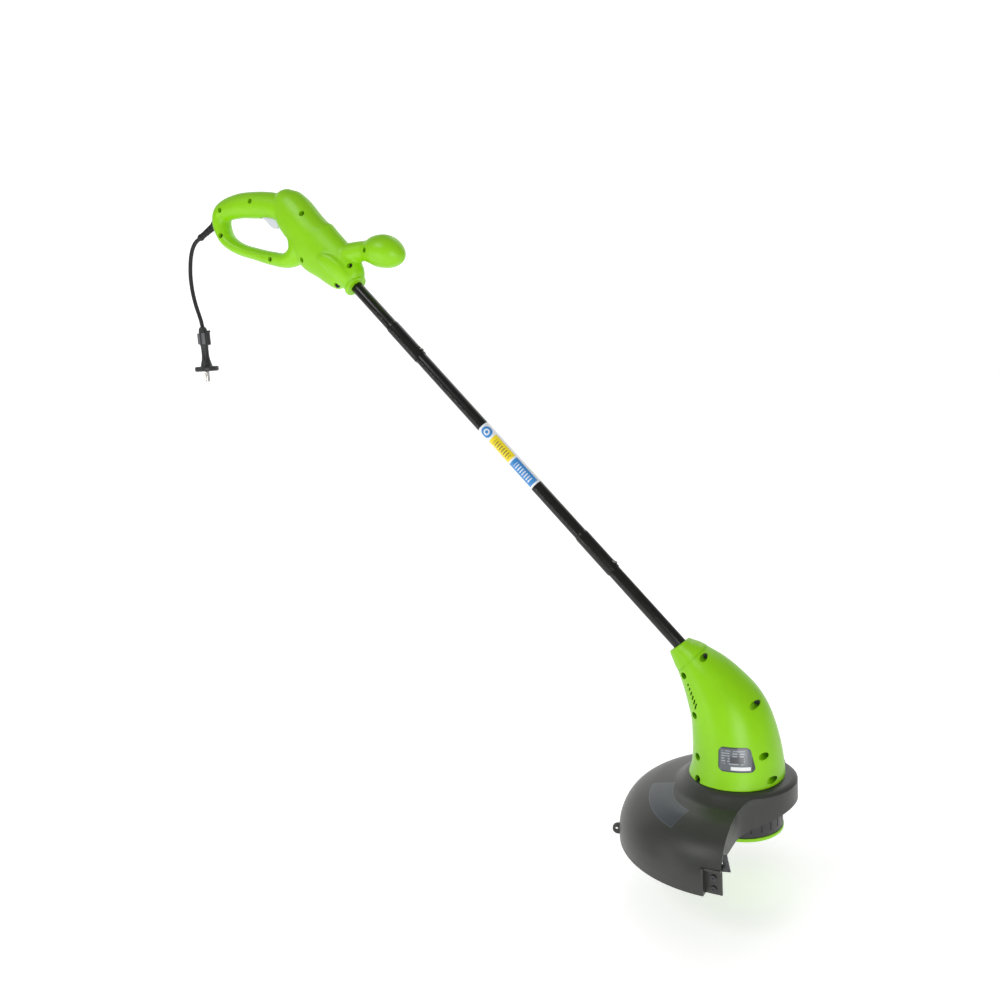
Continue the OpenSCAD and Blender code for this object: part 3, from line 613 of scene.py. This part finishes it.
def makeBoot():
    b = boot
    ribs, slots = [], []
    for i in range(b["ribs"]):
        r, z = b["ribR"] - i * b["taper"], b["firstRib"] + i * b["pitch"]
        ribs += [(r, z), (r, z + 2.5), (r - b["groove"], z + 2.9), (r - b["groove"], z + 3.9)]
        low, high = ((b["slotBase"] + i * b["pitch"] + edge) * mm for edge in b["slotSpan"])
        for turn in (0, 180):  # each row of slots stands a quarter turn from the last
            spin = Matrix.Rotation(math.radians(turn + 90 * (i % 2)), 4, "Z")
            slots.append(block("slot", (b["slotFrom"] * mm, -b["slotHalf"] * mm, low),
                               (b["slotTo"] * mm, b["slotHalf"] * mm, high), matrix=onBoot @ spin))
    tip = [(5.3, 38), (5.3, 42.4), (4.4, cord["boot"]), (0, cord["boot"])]
    outline = [(r * mm, z * mm) for r, z in b["foot"] + ribs + tip]
    piece = cut(lathe("cordBoot", rounded(outline, 0.5 * mm, 3), onBoot), *slots)
    done(piece, "rubber", "root", ["cord_gland"])


plug = {
    "flange": 19, "neck": 5.8, "turn": math.radians(40), "pinGap": 9.5, "grooves": 12,
    "ridges": (-24, -21.5, -19, -16.5, -14),
    "pin": [(0, 0), (1.9, 0), (1.9, -1), (2.4, -1.4), (2.4, -17.5), (1.2, -19), (0, -19.2)], "pinTop": -71.2,
    "dimple": [(0, -73), (3.4, -73), (3.1, -71.2), (0, -71.2)],
    "clip": [(8, -30), (11.4, -29), (11.4, -9.5), (13.2, -8.6), (13.2, -6.2), (8.2, -6.2), (8.2, -9),
             (8, -9.5)]}


def atPins():
    places = []
    for side in (-1, 1):
        spot = Vector((0, side * plug["pinGap"] * mm, 0))
        spot.rotate(Matrix.Rotation(plug["turn"], 3, "Z"))
        places.append(onPlug @ Matrix.Translation(spot))
    return places


def makePlug():
    p = plug
    outline = [(0, 0), (4.4, 0), (6.3, -3), (6.8, -8), (6.8, -29.5), (6.2, -31), (p["neck"], -36),
               (p["neck"], -46), (6.4, -52), (8.6, -60), (9.6, -64), (p["flange"] - 1.4, -64),
               (p["flange"], -65.4), (p["flange"], -70.6), (p["flange"] - 1.4, -72), (0, -72)]
    body = lathe("plugBody", rounded([(r * mm, z * mm) for r, z in outline], 1.1 * mm, 4), onPlug, 128)
    cutters = []
    for k in range(p["grooves"]):
        spin = Matrix.Rotation(2 * math.pi * k / p["grooves"], 4, "Z")
        cutters.append(block("groove", (5.3 * mm, -0.5 * mm, -56 * mm), (9.5 * mm, 0.5 * mm, -33 * mm),
                             0.35 * mm, onPlug @ spin))
    cutters += [lathe("dimple", [(r * mm, z * mm) for r, z in p["dimple"]], place) for place in atPins()]
    done(cut(body, *cutters), "plug", "root", ["plug_body"])
    face = block("plugLatch", (-8 * mm, -6.5 * mm, -28 * mm), (8 * mm, 6.5 * mm, -10 * mm), 1.2 * mm, onPlug)
    ridges = []
    for z in p["ridges"]:
        low, high = (-6 * mm, -8 * mm, z * mm), (6 * mm, -6.1 * mm, (z + 0.9) * mm)
        ridges.append(block("ridge", low, high, 0.2 * mm, onPlug))
    done(cut(face, *ridges), "plugFace", "root")
    clip = prism("plugClip", [(x * mm, z * mm) for x, z in p["clip"]], -4 * mm, 4 * mm,
                 onPlug @ Matrix.Rotation(math.pi / 2, 4, "X"), 0.5 * mm)
    done(clip, "black", "root", ["plug_clip"])
    line = rounded([(r * mm, (z + p["pinTop"]) * mm) for r, z in p["pin"]], 0.7 * mm)
    pair = weld(*[lathe("plugPins", line, place, 48) for place in atPins()])
    done(pair, "nickel", "root", ["plug_pins"])
    return [body, face, clip, pair]


cordPiece, cordExit = makeCord()
makeBoot()
plugPieces = makePlug()
print("cord, boot and plug made")


# ---- handle ----
handle = {
    "wall": 2.5, "seam": 0.5,
    # stations of each form: place along, place across, half width and half depth
    "loop": [(-61, -22, 13, 16), (-57, -6, 14.5, 16.5), (-42, 0, 17, 17), (-15, 2, 19, 17.5),
             (10, 0, 20, 17.5), (35, -3, 20, 17.5), (57, -8, 20, 18), (84, -22, 22, 20),
             (97, -48, 24, 20), (92, -76, 18, 18), (68, -88, 12, 15), (35, -82, 10.5, 14.5),
             (5, -73, 9.5, 14), (-20, -65, 9.5, 14), (-40, -55, 10, 14.5), (-54, -42, 11.5, 15)],
    "trunk": [(-196, 7, 7, 9), (-192.5, 7.5, 13.5, 13), (-186, 7.5, 20.5, 17), (-174, 6, 28.5, 20.5),
              (-151, 3.5, 33.5, 23.2), (-120, 1, 34, 24), (-96, -3, 41, 23), (-66, 0, 37, 21.5),
              (-36, 3, 33, 20), (-20, 4.5, 26.5, 18), (-9, 1.5, 19, 16.6), (-5, 0.3, 16.2, 15.6)],
    "facet": [(-75, -6, 2, 17), (-67, -2, 9, 23.2), (-54, 2, 14, 24.2), (-40, 4, 15, 23.6),
              (-28, 4, 14.5, 22.4), (-16, 2.5, 13, 20), (-8, 1, 11, 17)],
    "collar": [(-7.5, 15.4), (-6.2, 17.3), (-4.6, 17.8), (-2.2, 17.8), (-0.8, 17.3), (-0.1, 16.2)],
    "knob": [(158, -92, 18, 15), (185, -90, 16, 15), (205, -88.5, 14.8, 14), (216, -88.5, 14.8, 14),
             (224, -89.5, 17.5, 17), (232, -90, 21, 20.5), (241, -91, 23.2, 23), (251, -92.5, 23.6, 23.5),
             (261, -96, 22, 22), (270.5, -100, 17.5, 17.5), (277, -103, 11.5, 11.5), (281, -105, 5, 5)],
    "screws": [(17, 4), (-47, -2), (-53, -40), (44, -85), (118, -26), (109, -92), (195, -108), (166, -134),
               (227, -89)],
    "pocket": 3.9, "boss": 5.4, "seat": 7, "screw": 1.7, "voxel": 1.0, "softness": 30,
    "groove": 0.45, "sharp": 38,
    "bore": 9.15, "bootHole": [(0, -12), (7.7, -12), (7.7, -3.9), (5.3, -3.9), (5.3, 0.4), (7.4, 0.4),
                               (7.4, 12), (0, 12)],
    "triggerSlot": ((22.5, -6.6, -50), (66, 6.6, -12)), "solidNeck": ((-24, -30, -40), (4, 30, 40))}


def across(name, x, z, radius, y0, y1, matrix=None):
    piece = rod(name, radius * mm, (x * mm, y0 * mm, z * mm), (x * mm, y1 * mm, z * mm))
    return moved(piece, matrix) if matrix else piece


def halfOf(form, name, side, matrix=None, reach=0.5, gap=0.05 * mm):
    near, far = sorted((gap * side, reach * side))
    slab = block("slab", (-reach, near, -reach), (reach, far, reach), matrix=matrix)
    return keepInside(copyOf(form, name), slab)


def grooves(form, depth, *slabs):
    core = thinner(form, "core", depth * mm, 1.2 * mm)
    first, *rest = slabs
    return cut(weld(first, *rest) if rest else first, core)


def seamSlab(width, matrix=None, reach=0.5):
    return block("seam", (-reach, -width * mm, -reach), (reach, width * mm, reach), matrix=matrix)


def makeHandleForm():
    h = handle
    forms = [sweep("loop", h["loop"], 8, True), sweep("trunk", h["trunk"], 8, matrix=onShaft),
             sweep("knob", h["knob"], 8), sweep("facet", h["facet"], 8, matrix=onShaft, power=0.6)]
    form = melt("handleForm", forms, h["voxel"] * mm, h["softness"])
    line = [(0, -7 * mm)] + [(r * mm, x * mm) for x, r in h["collar"]] + [(0, -0.1 * mm)]
    return weld(form, lathe("collar", rounded(line, 0.7 * mm), onShaft @ alongX))


def makeHandle():
    h = handle
    form = makeHandleForm()
    inner = thinner(form, "handleInner", h["wall"] * mm, 1.6 * mm)
    seam = grooves(form, h["groove"], seamSlab(h["seam"] / 2))
    for side, name in ((-1, "handleShellRight"), (1, "handleShellLeft")):
        shell = halfOf(form, name, side)
        hollow = copyOf(inner, "handleHollow")
        bosses = [across("boss", x, z, h["boss"], 0.3 * side, 40 * side) for x, z in h["screws"]]
        cut(hollow, *bosses, boxOf("solidNeck", h["solidNeck"], 0, onShaft))
        cutters = [hollow, copyOf(seam, "seam"),
                   rod("bore", h["bore"] * mm, *[onShaft @ Vector((x, 0, 0)) for x in (-0.09, 0.01)], 96),
                   boxOf("triggerSlot", h["triggerSlot"], 1.2 * mm),
                   lathe("bootHole", [(r * mm, z * mm) for r, z in h["bootHole"]], onBoot)]
        for x, z in h["screws"]:
            cutters.append(across("screwHole", x, z, h["screw"], -0.5 * side, 12 * side))
            if side < 0:
                cutters.append(across("pocket", x, z, h["pocket"], -40, -h["seat"]))
        cut(shell, *cutters)
        node = "handle_shell_right" if side < 0 else "handle_shell_left"
        done(shell, "lime", "root", [node], h["sharp"])
    for spare in (form, inner, seam):
        bpy.data.objects.remove(spare)


makeHandle()
print("handle made")


trigger = {"outline": [(20, -8), (61, -16), (61, -36), (57.5, -39.5), (50, -39.5), (46.5, -38.3), (42.5, -35),
                       (38.5, -30.5), (34, -25.8), (29, -21.6), (20, -16.4)],
           "half": 6, "pivot": (20, -12), "boss": 4.5, "pinHole": 2.05, "springHole": 4, "springX": 55}


def makeTrigger():
    t = trigger
    half = t["half"] * mm
    lever = prism("triggerLever", [(x * mm, z * mm) for x, z in t["outline"]], -half, half,
                  Matrix.Rotation(math.pi / 2, 4, "X"), 1.6 * mm, 5)
    weld(lever, across("boss", *t["pivot"], t["boss"], -t["half"], t["half"]))
    ends = [(t["springX"] * mm, 0, z * mm) for z in (-26, -6)]
    cut(lever, across("pinHole", *t["pivot"], t["pinHole"], -10, 10),
        rod("springHole", t["springHole"] * mm, *ends))
    done(lever, "grey", "trigger", ["trigger"])


makeTrigger()


# ---- shaft ----
tubes = {"r": 9, "bore": 8.1, "sleeve": 10, "starts": (86, 498), "sleeveLength": 64, "button": 3.9,
         "buttonToEnd": 8, "top": -78, "overlap": 4, "intoHousing": 52, "play": 0.3}


def tubeLine(top, swage):
    t = tubes
    end = swage + t["sleeveLength"]
    return [(t["bore"], top), (t["r"], top), (t["r"], swage - 4), (t["sleeve"], swage), (t["sleeve"], end),
            (t["r"] + 0.1, end), (t["r"] + 0.1, swage + 0.5), (t["bore"], swage - 2.5)]


def makeTube(name, outline, node, holes):
    line = rounded([(r * mm, s * mm) for r, s in outline + [outline[0]]], 0.35 * mm, 3)[1:-1]
    tube = lathe(name, line, onShaft @ alongX, 128, closed=True)
    for s in holes:
        ends = [onShaft @ Vector((s * mm, 0, z * mm)) for z in (0, 15)]
        cut(tube, rod("hole", (tubes["button"] + tubes["play"]) * mm, *ends))
    done(tube, "paint", "root", [node])


def makeButton(name, body, spot):
    t = tubes
    here = onShaft @ Matrix.Translation((spot * mm, 0, 0))
    line = [(0, 5), (4.9, 5), (4.9, 6.1), (t["button"], 6.1), (t["button"], 13), (0, 13)]
    button = lathe(name, rounded([(r * mm, z * mm) for r, z in line], 0.5 * mm), here, 64)
    tilt = Matrix.Translation((0, 0, 10.4 * mm)) @ Matrix.Rotation(math.radians(-22), 4, "Y")
    cut(button, boxOf("ramp", ((-6, -6, 0), (10, 6, 6)), 0, here @ tilt))
    done(button, "paint", body, [body])


def makeShaft():
    t, w = tubes, wrap
    first, second = t["starts"]
    spots = [s + t["sleeveLength"] - t["buttonToEnd"] for s in t["starts"]]
    end = (headAxis.x + neck.x - socket.x) / shaftDown.x / mm + t["intoHousing"]
    low = second + t["overlap"]
    makeTube("upperTube", tubeLine(t["top"], first), "upper_tube", [spots[0]])
    makeTube("middleTube", tubeLine(first + t["overlap"], second), "middle_tube", spots)
    lowerLine = [(t["bore"], low), (t["r"], low), (t["r"], end), (t["bore"], end)]
    makeTube("lowerTube", lowerLine, "lower_tube", [spots[1]])
    makeButton("snapButtonUpper", "snap_button_upper", spots[0])
    makeButton("snapButtonLower", "snap_button_lower", spots[1])
    inside, outside = w["radius"] - 0.18 * mm, w["radius"]
    line = [(inside, w["start"]), (outside, w["start"] + 0.1 * mm), (outside, w["end"] - 0.1 * mm),
            (inside, w["end"])]
    label = lathe("shaftWrap", rounded(line, 0.05 * mm, 2), onShaft @ alongX, 128, closed=True)
    done(label, "wrap", "root", ["shaft_label"])


makeShaft()
print("shaft made")


# ---- motor housing ----
housing = {
    "wall": 2.5, "seam": 0.5, "pocket": 4.5, "boss": 6.2, "seat": 7, "screw": 1.7, "bore": 9.15,
    "voxel": 1.1, "groove": 0.7, "sharp": 38,
    # rear edge x and z, front edge x and z, half depth
    "edges": [(-89, 243, -64, 262, 16), (-86, 236, -58, 260, 18.5), (-83, 229, -50, 258, 21.5),
              (-79, 220, -37, 252, 26), (-74, 208, -14, 239, 32.5), (-69, 192, 8, 221, 38.5),
              (-65, 177, 26, 202, 44), (-61, 160, 39, 180, 49), (-60, 140, 48, 154, 53.5),
              (-60, 118, 54, 127, 57), (-62, 101, 57, 103, 60), (-66, 89, 57.5, 89, 63)],
    "screws": [(-38, 244), (-63, 219), (-47, 171), (27, 190), (-42, 119), (41, 130), (-40, 92.5), (49, 98)],
    "vents": {"count": 6, "first": (-56, 209), "pace": (2.4, -4.9), "side": 30, "half": 2, "growth": 0.5,
              "tilt": math.radians(18)},
    "step": 27, "collarFrom": 222, "collarOut": 0.9, "puff": 0.94}


def housingForm(name, grow=0, around=128, steps=8, collar=True):
    h, rings = housing, []
    for xl, zl, xr, zr, deep in smoothLine(h["edges"], steps):
        middle = Vector((xl + xr, zl + zr)) / 2
        half = Vector((xr - xl, zr - zl)) / 2
        share = 1 + (grow + (h["collarOut"] if collar and zl > h["collarFrom"] else 0)) / half.length
        turn = 2 * np.pi * np.arange(around) / around
        puff = squared(np.cos(turn), h["puff"])
        rings.append(np.stack([middle.x + half.x * share * puff, (deep + grow) * np.sin(turn),
                               middle.y + half.y * share * puff], 1) * mm)
    return skin(name, rings, matrix=inHead)


def ventCutters(side):
    v, cutters = housing["vents"], []
    for i in range(v["count"]):
        half = v["half"] + v["growth"] * i
        x, z = (start + pace * i for start, pace in zip(v["first"], v["pace"]))
        here = Vector((x, side * v["side"], z)) * mm
        place = inHead @ Matrix.Translation(here) @ Matrix.Rotation(v["tilt"], 4, "Y")
        cutters.append(boxOf("vent", ((-1.1, -20, -half), (1.1, 20, half)), 1.0 * mm, place))
    return cutters


def makeHousing():
    h = housing
    form = housingForm("housingForm", -0.95)
    modify(form, "REMESH", voxel_size=h["voxel"] * mm)
    modify(form, "SMOOTH", factor=0.5, iterations=3)
    inner = thinner(form, "housingInner", h["wall"] * mm, 1.8 * mm)
    step = boxOf("step", ((h["step"] - 0.5, -50, -50), (h["step"] + 0.5, 50, 50)), 0, onNeck)
    seam = grooves(form, h["groove"], seamSlab(h["seam"] / 2, inHead), step)
    weld(inner, boxOf("open", ((-50, -40, 60), (45, 40, 110)), 12 * mm, inHead))
    for side, name, node in ((-1, "motorHousingRight", "motor_housing_right"),
                             (1, "motorHousingLeft", "motor_housing_left")):
        shell = halfOf(form, name, side, inHead)
        hollow = copyOf(inner, "hollow")
        bosses = [across("boss", x, z, h["boss"], 0.3 * side, 80 * side, inHead) for x, z in h["screws"]]
        cut(hollow, *bosses, boxOf("neckPlug", ((-34, -50, -50), (26, 50, 50)), 0, onNeck))
        cutters = [hollow, copyOf(seam, "seam"),
                   rod("bore", h["bore"] * mm, *[onNeck @ Vector((x, 0, 0)) for x in (-0.01, 0.056)], 96)]
        for x, z in h["screws"]:
            cutters.append(across("screwHole", x, z, h["screw"], -0.5 * side, 12 * side, inHead))
            if side < 0:
                cutters.append(across("pocket", x, z, h["pocket"], -80, -h["seat"], inHead))
        cut(shell, *cutters, *ventCutters(side))
        done(shell, "lime", "root", [node], h["sharp"])
    for spare in (form, inner, seam):
        bpy.data.objects.remove(spare)


def makeRatingPlate():
    outside = housingForm("plateOutside", -0.45, 160, 6, False)
    inside = housingForm("plateInside", -0.93, 160, 6, False)
    outline = rounded(plate["outline"], 2.4, 4)[:-1]
    patch = prism("ratingPlate", [(x * mm, z * mm) for x, z in outline], 20 * mm, 90 * mm,
                  inHead @ Matrix.Rotation(math.pi / 2, 4, "X"))
    cut(outside, inside)
    keepInside(patch, outside)
    done(patch, "rating", "root", ["rating_plate"], 40)


makeHousing()
print("housing made")


# ---- guard ----
guard = {
    "rim": 158.8, "wall": 2.6, "lip": 72, "cut": 21, "blend": 35, "ear": 159, "tab": -148.5,
    "profile": [(66, 88.6), (70, 86.5), (77, 80.5), (84, 76), (95, 73.5), (115, 68.5),
                (135, 58.5), (148, 45), (156, 28), (158.8, 12), (158.8, 0)],
    "mounts": [(45, 44), (135, 36), (270, 44)], "bladeScrews": (7, 21), "bladeX": 11, "bladeHole": 1.6,
    "recessLeft": -1.6, "inner": -145.9, "roof": 31, "tabTop": 34,
    "earFrom": 157, "earAt": 160.5, "earR": 7.5, "slope": math.radians(-21), "slopeAt": 40.5}


def planOutline(inset):
    g = guard
    bx = g["cut"] + g["blend"]
    by = math.sqrt((g["lip"] + g["blend"]) ** 2 - bx ** 2)
    sweepAngle = math.atan2(by, bx)
    corner = [(bx + (g["blend"] + inset) * math.cos(math.pi + sweepAngle * i / 20),
               by + (g["blend"] + inset) * math.sin(math.pi + sweepAngle * i / 20)) for i in range(21)]
    front = [((g["lip"] - inset) * math.cos(t), (g["lip"] - inset) * math.sin(t))
             for t in (sweepAngle * (1 - i / 32) for i in range(1, 64))]
    edge = g["cut"] - inset
    points = [(edge, -220), (-220, -220), (-220, 220), (edge, 220)] + corner + front + [
        (x, -y) for x, y in reversed(corner)]
    return [(x * mm, y * mm) for x, y in points]


def domeLine(inset, steps=8):
    line = smoothLine(guard["profile"], steps)
    out = []
    for i, (r, z) in enumerate(line):
        ahead, behind = line[min(i + 1, len(line) - 1)], line[max(i - 1, 0)]
        way = (ahead - behind) / np.linalg.norm(ahead - behind)
        out.append((min(r + way[1] * inset, guard["rim"] - inset) * mm, (z - way[0] * inset) * mm))
    return out


def makeDome():
    g = guard
    outer, inner = domeLine(0.02), domeLine(g["wall"])
    line = [(16 * mm, 88.55 * mm)] + outer + inner[::-1] + [(16 * mm, 84.6 * mm)]
    dome = lathe("guard", line, inHead, 256, closed=True)
    return keepInside(dome, prism("plan", planOutline(0), -1 * mm, 100 * mm, inHead))


def makeRimWall():
    g = guard
    solid = lathe("domeSolid", [(0, 0), (0, 88.5 * mm)] + domeLine(0.1) + [(0, 0)], inHead, 256)
    wall = cut(prism("rimWall", planOutline(0.02), 30 * mm, 90 * mm, inHead),
               prism("rimWallInside", planOutline(g["wall"]), 20 * mm, 100 * mm, inHead))
    foot = Matrix.Translation((g["cut"] * mm, -158 * mm, g["slopeAt"] * mm))
    tilt = inHead @ foot @ Matrix.Rotation(g["slope"], 4, "Y")
    slope = boxOf("slope", ((-30, 0, 0), (100, 316, 60)), 0, tilt)
    return keepInside(keepInside(wall, solid), slope)


def makeEar(sign):
    g = guard
    turn = inHead @ Matrix.Rotation(math.radians(sign * g["ear"]), 4, "Z")
    outline = [(g["earFrom"], 0), (g["earFrom"], 2 * g["earR"])] + [
        (g["earAt"] + g["earR"] * math.cos(t), g["earR"] + g["earR"] * math.sin(t))
        for t in (math.pi * (0.5 - i / 16) for i in range(17))]
    ear = prism("ear", [(x * mm, z * mm) for x, z in outline], -1.7 * mm, 1.7 * mm,
                turn @ Matrix.Rotation(math.pi / 2, 4, "X"), 0.4 * mm)
    ends = [turn @ (Vector((g["earAt"] + 2, y, g["earR"])) * mm) for y in (-5, 5)]
    return cut(ear, rod("earHole", 2 * mm, *ends))


def bladeHoles():
    g = guard
    return [across("hole", g["bladeX"], z, g["bladeHole"], -160, -140, inHead) for z in g["bladeScrews"]]


def makeGuard():
    g = guard
    left, right, inner, top = g["recessLeft"], g["cut"], g["inner"], g["tabTop"]
    dome = makeDome()
    weld(dome, makeRimWall(), boxOf("recessSide", ((left, -158, 0), (1, inner, top)), 0, inHead),
         boxOf("recessRoof", ((left, -155, g["roof"]), (right, inner, top)), 0, inHead))
    holes = []
    for turn, reach in g["mounts"]:
        a = math.radians(turn)
        ends = [inHead @ (Vector((reach * math.cos(a), reach * math.sin(a), z)) * mm) for z in (80, 100)]
        holes.append(rod("mountHole", 2.2 * mm, *ends))
    cut(dome, boxOf("recess", ((1, -170, -1), (right + 1, g["tab"], g["roof"])), 0, inHead), *holes)
    weld(dome, boxOf("tab", ((left, g["tab"], 0), (right, inner, top)), 0, inHead))
    cut(dome, *bladeHoles())
    for sign in (1, -1):
        weld(dome, makeEar(sign))
    done(dome, "guard", "root", ["guard"], 30)


makeGuard()
makeRatingPlate()
print("guard made")


def makeBlade():
    g = guard
    x = g["cut"]
    outline = [(3, 2), (x - 4, 2), (x - 4, 28.6), (x + 10, 30.6), (x + 6, 51), (x + 1, 50), (x + 0.6, 38.6),
               (3, 35)]
    blade = prism("lineBlade", [(a * mm, b * mm) for a, b in outline], 144.7 * mm, 145.9 * mm,
                  inHead @ Matrix.Rotation(math.pi / 2, 4, "X"), 0.25 * mm, 2)
    cut(blade, *bladeHoles())
    done(blade, "darkSteel", "root", ["line_blade"])


makeBlade()


# ---- spool head ----
head = {"cup": 53, "cap": (18, 23), "ribs": 24, "port": 3.4, "portTurn": 150, "portZ": 38, "grips": 6}


def turned(name, line, radius, steps=4, closed=False):
    points = [(r * mm, z * mm) for r, z in line]
    if closed:
        points = rounded([points[-1]] + points + [points[0]], radius, steps)[1:-1]
    else:
        points = rounded(points, radius, steps)
    return lathe(name, points, inHead, 160, closed=closed)


def makeSpoolHousing():
    h = head
    r, top = h["cup"], h["cap"][1]
    line = [(r - 2.2, top + 0.2), (r, top + 0.2), (r, 66), (r - 3, 72), (9, 72), (9, 80), (4.02, 80),
            (4.02, 57), (9, 57), (9, 69.5), (r - 2.2, 69.5)]
    cup = turned("spoolCup", line, 0.8 * mm, 3, True)
    ribs = []
    for k in range(h["ribs"]):
        turn = inHead @ Matrix.Rotation(2 * math.pi * k / h["ribs"], 4, "Z")
        ribs.append(boxOf("rib", ((r - 0.9, -1.1, 30), (r + 3, 1.1, 62)), 0.5 * mm, turn))
    cut(cup, *ribs)
    port = inHead @ Matrix.Rotation(math.radians(h["portTurn"]), 4, "Z")
    cut(cup, rod("port", h["port"] * mm, *[port @ (Vector((x, 0, h["portZ"])) * mm) for x in (r - 6, r + 6)]))
    end = [(0, 55 * mm), (9 * mm, 55 * mm), (9 * mm, 57.01 * mm), (0, 57.01 * mm)]
    pieces = [lathe("shaftStop", end, inHead)]
    for side in (-1, 1):  # the feed lever's two rails, each with a lip under it
        for gap, high in ((5.3, 69.51), (3.5, 59.7)):
            near, far = sorted((gap * side, 7 * side))
            pieces.append(boxOf("rail", ((14, near, 58), (46, far, high)), 0, inHead))
    weld(cup, *pieces)
    done(cup, "cup", "rotor", ["spool_housing"])


def makeSpoolCap():
    h = head
    r, low, high = h["cup"], *h["cap"]
    line = [(0, low), (r - 0.4, low), (r + 0.8, low + 1), (r + 0.8, high), (r - 1.6, high),
            (r - 1.6, low + 2.2), (7, low + 2.2), (7, 51), (0, 51)]
    cap = turned("spoolCap", line, 0.5 * mm, 3)
    grips = []
    for k in range(h["grips"]):
        turn = inHead @ Matrix.Rotation(2 * math.pi * k / h["grips"], 4, "Z")
        grips.append(boxOf("grip", ((18, -1.2, low - 1.6), (44, 1.2, low + 0.4)), 0.5 * mm, turn))
    weld(cap, *grips)
    done(cap, "lime", "rotor", ["spool_cap"])


makeSpoolHousing()
makeSpoolCap()
print("spool head made")


# ---- finishes on the pieces that the frame already shapes ----
frameFinishes = {
    "darkSteel": ["handle_screws", "housing_screws", "guard_screws", "blade_screws"],
    "steel": ["trigger_pin", "trigger_spring", "snap_spring_upper", "snap_spring_lower", "stator_core",
              "armature_core", "motor_shaft", "upper_bearing", "lower_bearing", "brush_springs",
              "line_eyelet", "spool_spring", "cord_clamp_screws"],
    "black": ["switch_body", "cord_clamp", "motor_mount", "cooling_fan", "brush_bridge"],
    "grey": ["switch_plunger", "capacitor", "spool"],
    "lead": ["switch_leads", "shaft_leads", "motor_leads"],
    "rubber": ["cord_tail", "shaft_cable"],
    "copper": ["field_coils", "armature_windings"],
    "bareCopper": ["commutator"],
    "brass": ["brush_holders"],
    "carbon": ["carbon_brushes"],
    "line": ["line_winding"],
    "lime": ["feed_lever"]}
for finish, names in frameFinishes.items():
    for name in names:
        node = frame["nodes"][name]
        node.data.materials.clear()
        node.data.materials.append(finishes[finish])


# ---- studio ----
studio = {"middle": (0.4, 0, -0.96), "near": -4.0, "wallAt": 3.2, "wallBend": 1.0, "wallTop": 4, "half": 5.0,
          "world": 0.32, "glow": 0.55}
lamps = {"key": ((-1.0, -3.0, 2.4), (1.6, 1.6), 40), "fill": ((1.7, -1.7, -0.55), (1.0, 1.0), 15),
         "back": ((0.5, 1.5, 1.2), (1.6, 1.6), 10), "strip": ((-0.33, -0.96, -0.57), (0.012, 1.0), 1.6)}


def makeSweep():
    s = studio
    shade = Finish("studioPaper", Emission_Color=(1, 1, 1, 1), Emission_Strength=s["glow"])
    cloud = shade.noise(0.8, 2)
    grey = shade.mix(cloud, (0.8, 0.8, 0.8), (0.82, 0.82, 0.82))
    paper = shade.feed(Base_Color=grey, Roughness=0.85 + 0.05 * cloud)
    a = math.radians(view["azimuth"])
    away = Vector((-math.sin(a), math.cos(a), 0))
    side = Vector((math.cos(a), math.sin(a), 0))
    bend = [(s["wallAt"] - s["wallBend"] + s["wallBend"] * math.sin(t), s["wallBend"] * (1 - math.cos(t)))
            for t in (math.pi / 2 * i / 12 for i in range(13))]
    path = [(s["near"], 0)] + bend + [(s["wallAt"], s["wallTop"])]
    points = [Vector(s["middle"]) + away * d + Vector((0, 0, h)) + side * w * s["half"]
              for d, h in path for w in (-1, 1)]
    faces = [(2 * i, 2 * i + 1, 2 * i + 3, 2 * i + 2) for i in range(len(path) - 1)]
    floor = newPiece("studioSweep", points, faces)
    floor.data.materials.append(paper)
    floor.data.polygons.foreach_set("use_smooth", [True] * len(floor.data.polygons))


def makeLights():
    world = bpy.data.worlds.new("studio")
    world.use_nodes = True
    sky = world.node_tree.nodes["Background"]
    sky.inputs["Color"].default_value = (1, 1, 1, 1)
    sky.inputs["Strength"].default_value = studio["world"]
    scene.world = world
    for name, (spot, size, power) in lamps.items():
        light = bpy.data.lights.new(name, "AREA")
        light.shape, light.size, light.size_y, light.energy = "RECTANGLE", *size, power
        lamp = bpy.data.objects.new(name, light)
        back = (Vector(spot) - Vector(view["target"])).normalized()
        along = (shaftDown - back * shaftDown.dot(back)).normalized()  # a long lamp lies along the shaft
        aimed = Matrix((along.cross(back), along, back)).transposed().to_4x4()
        lamp.matrix_world = Matrix.Translation(spot) @ aimed
        lamp.visible_camera = False
        scene.collection.objects.link(lamp)
    scene.view_settings.view_transform = "Standard"


makeSweep()
makeLights()
print("studio made")
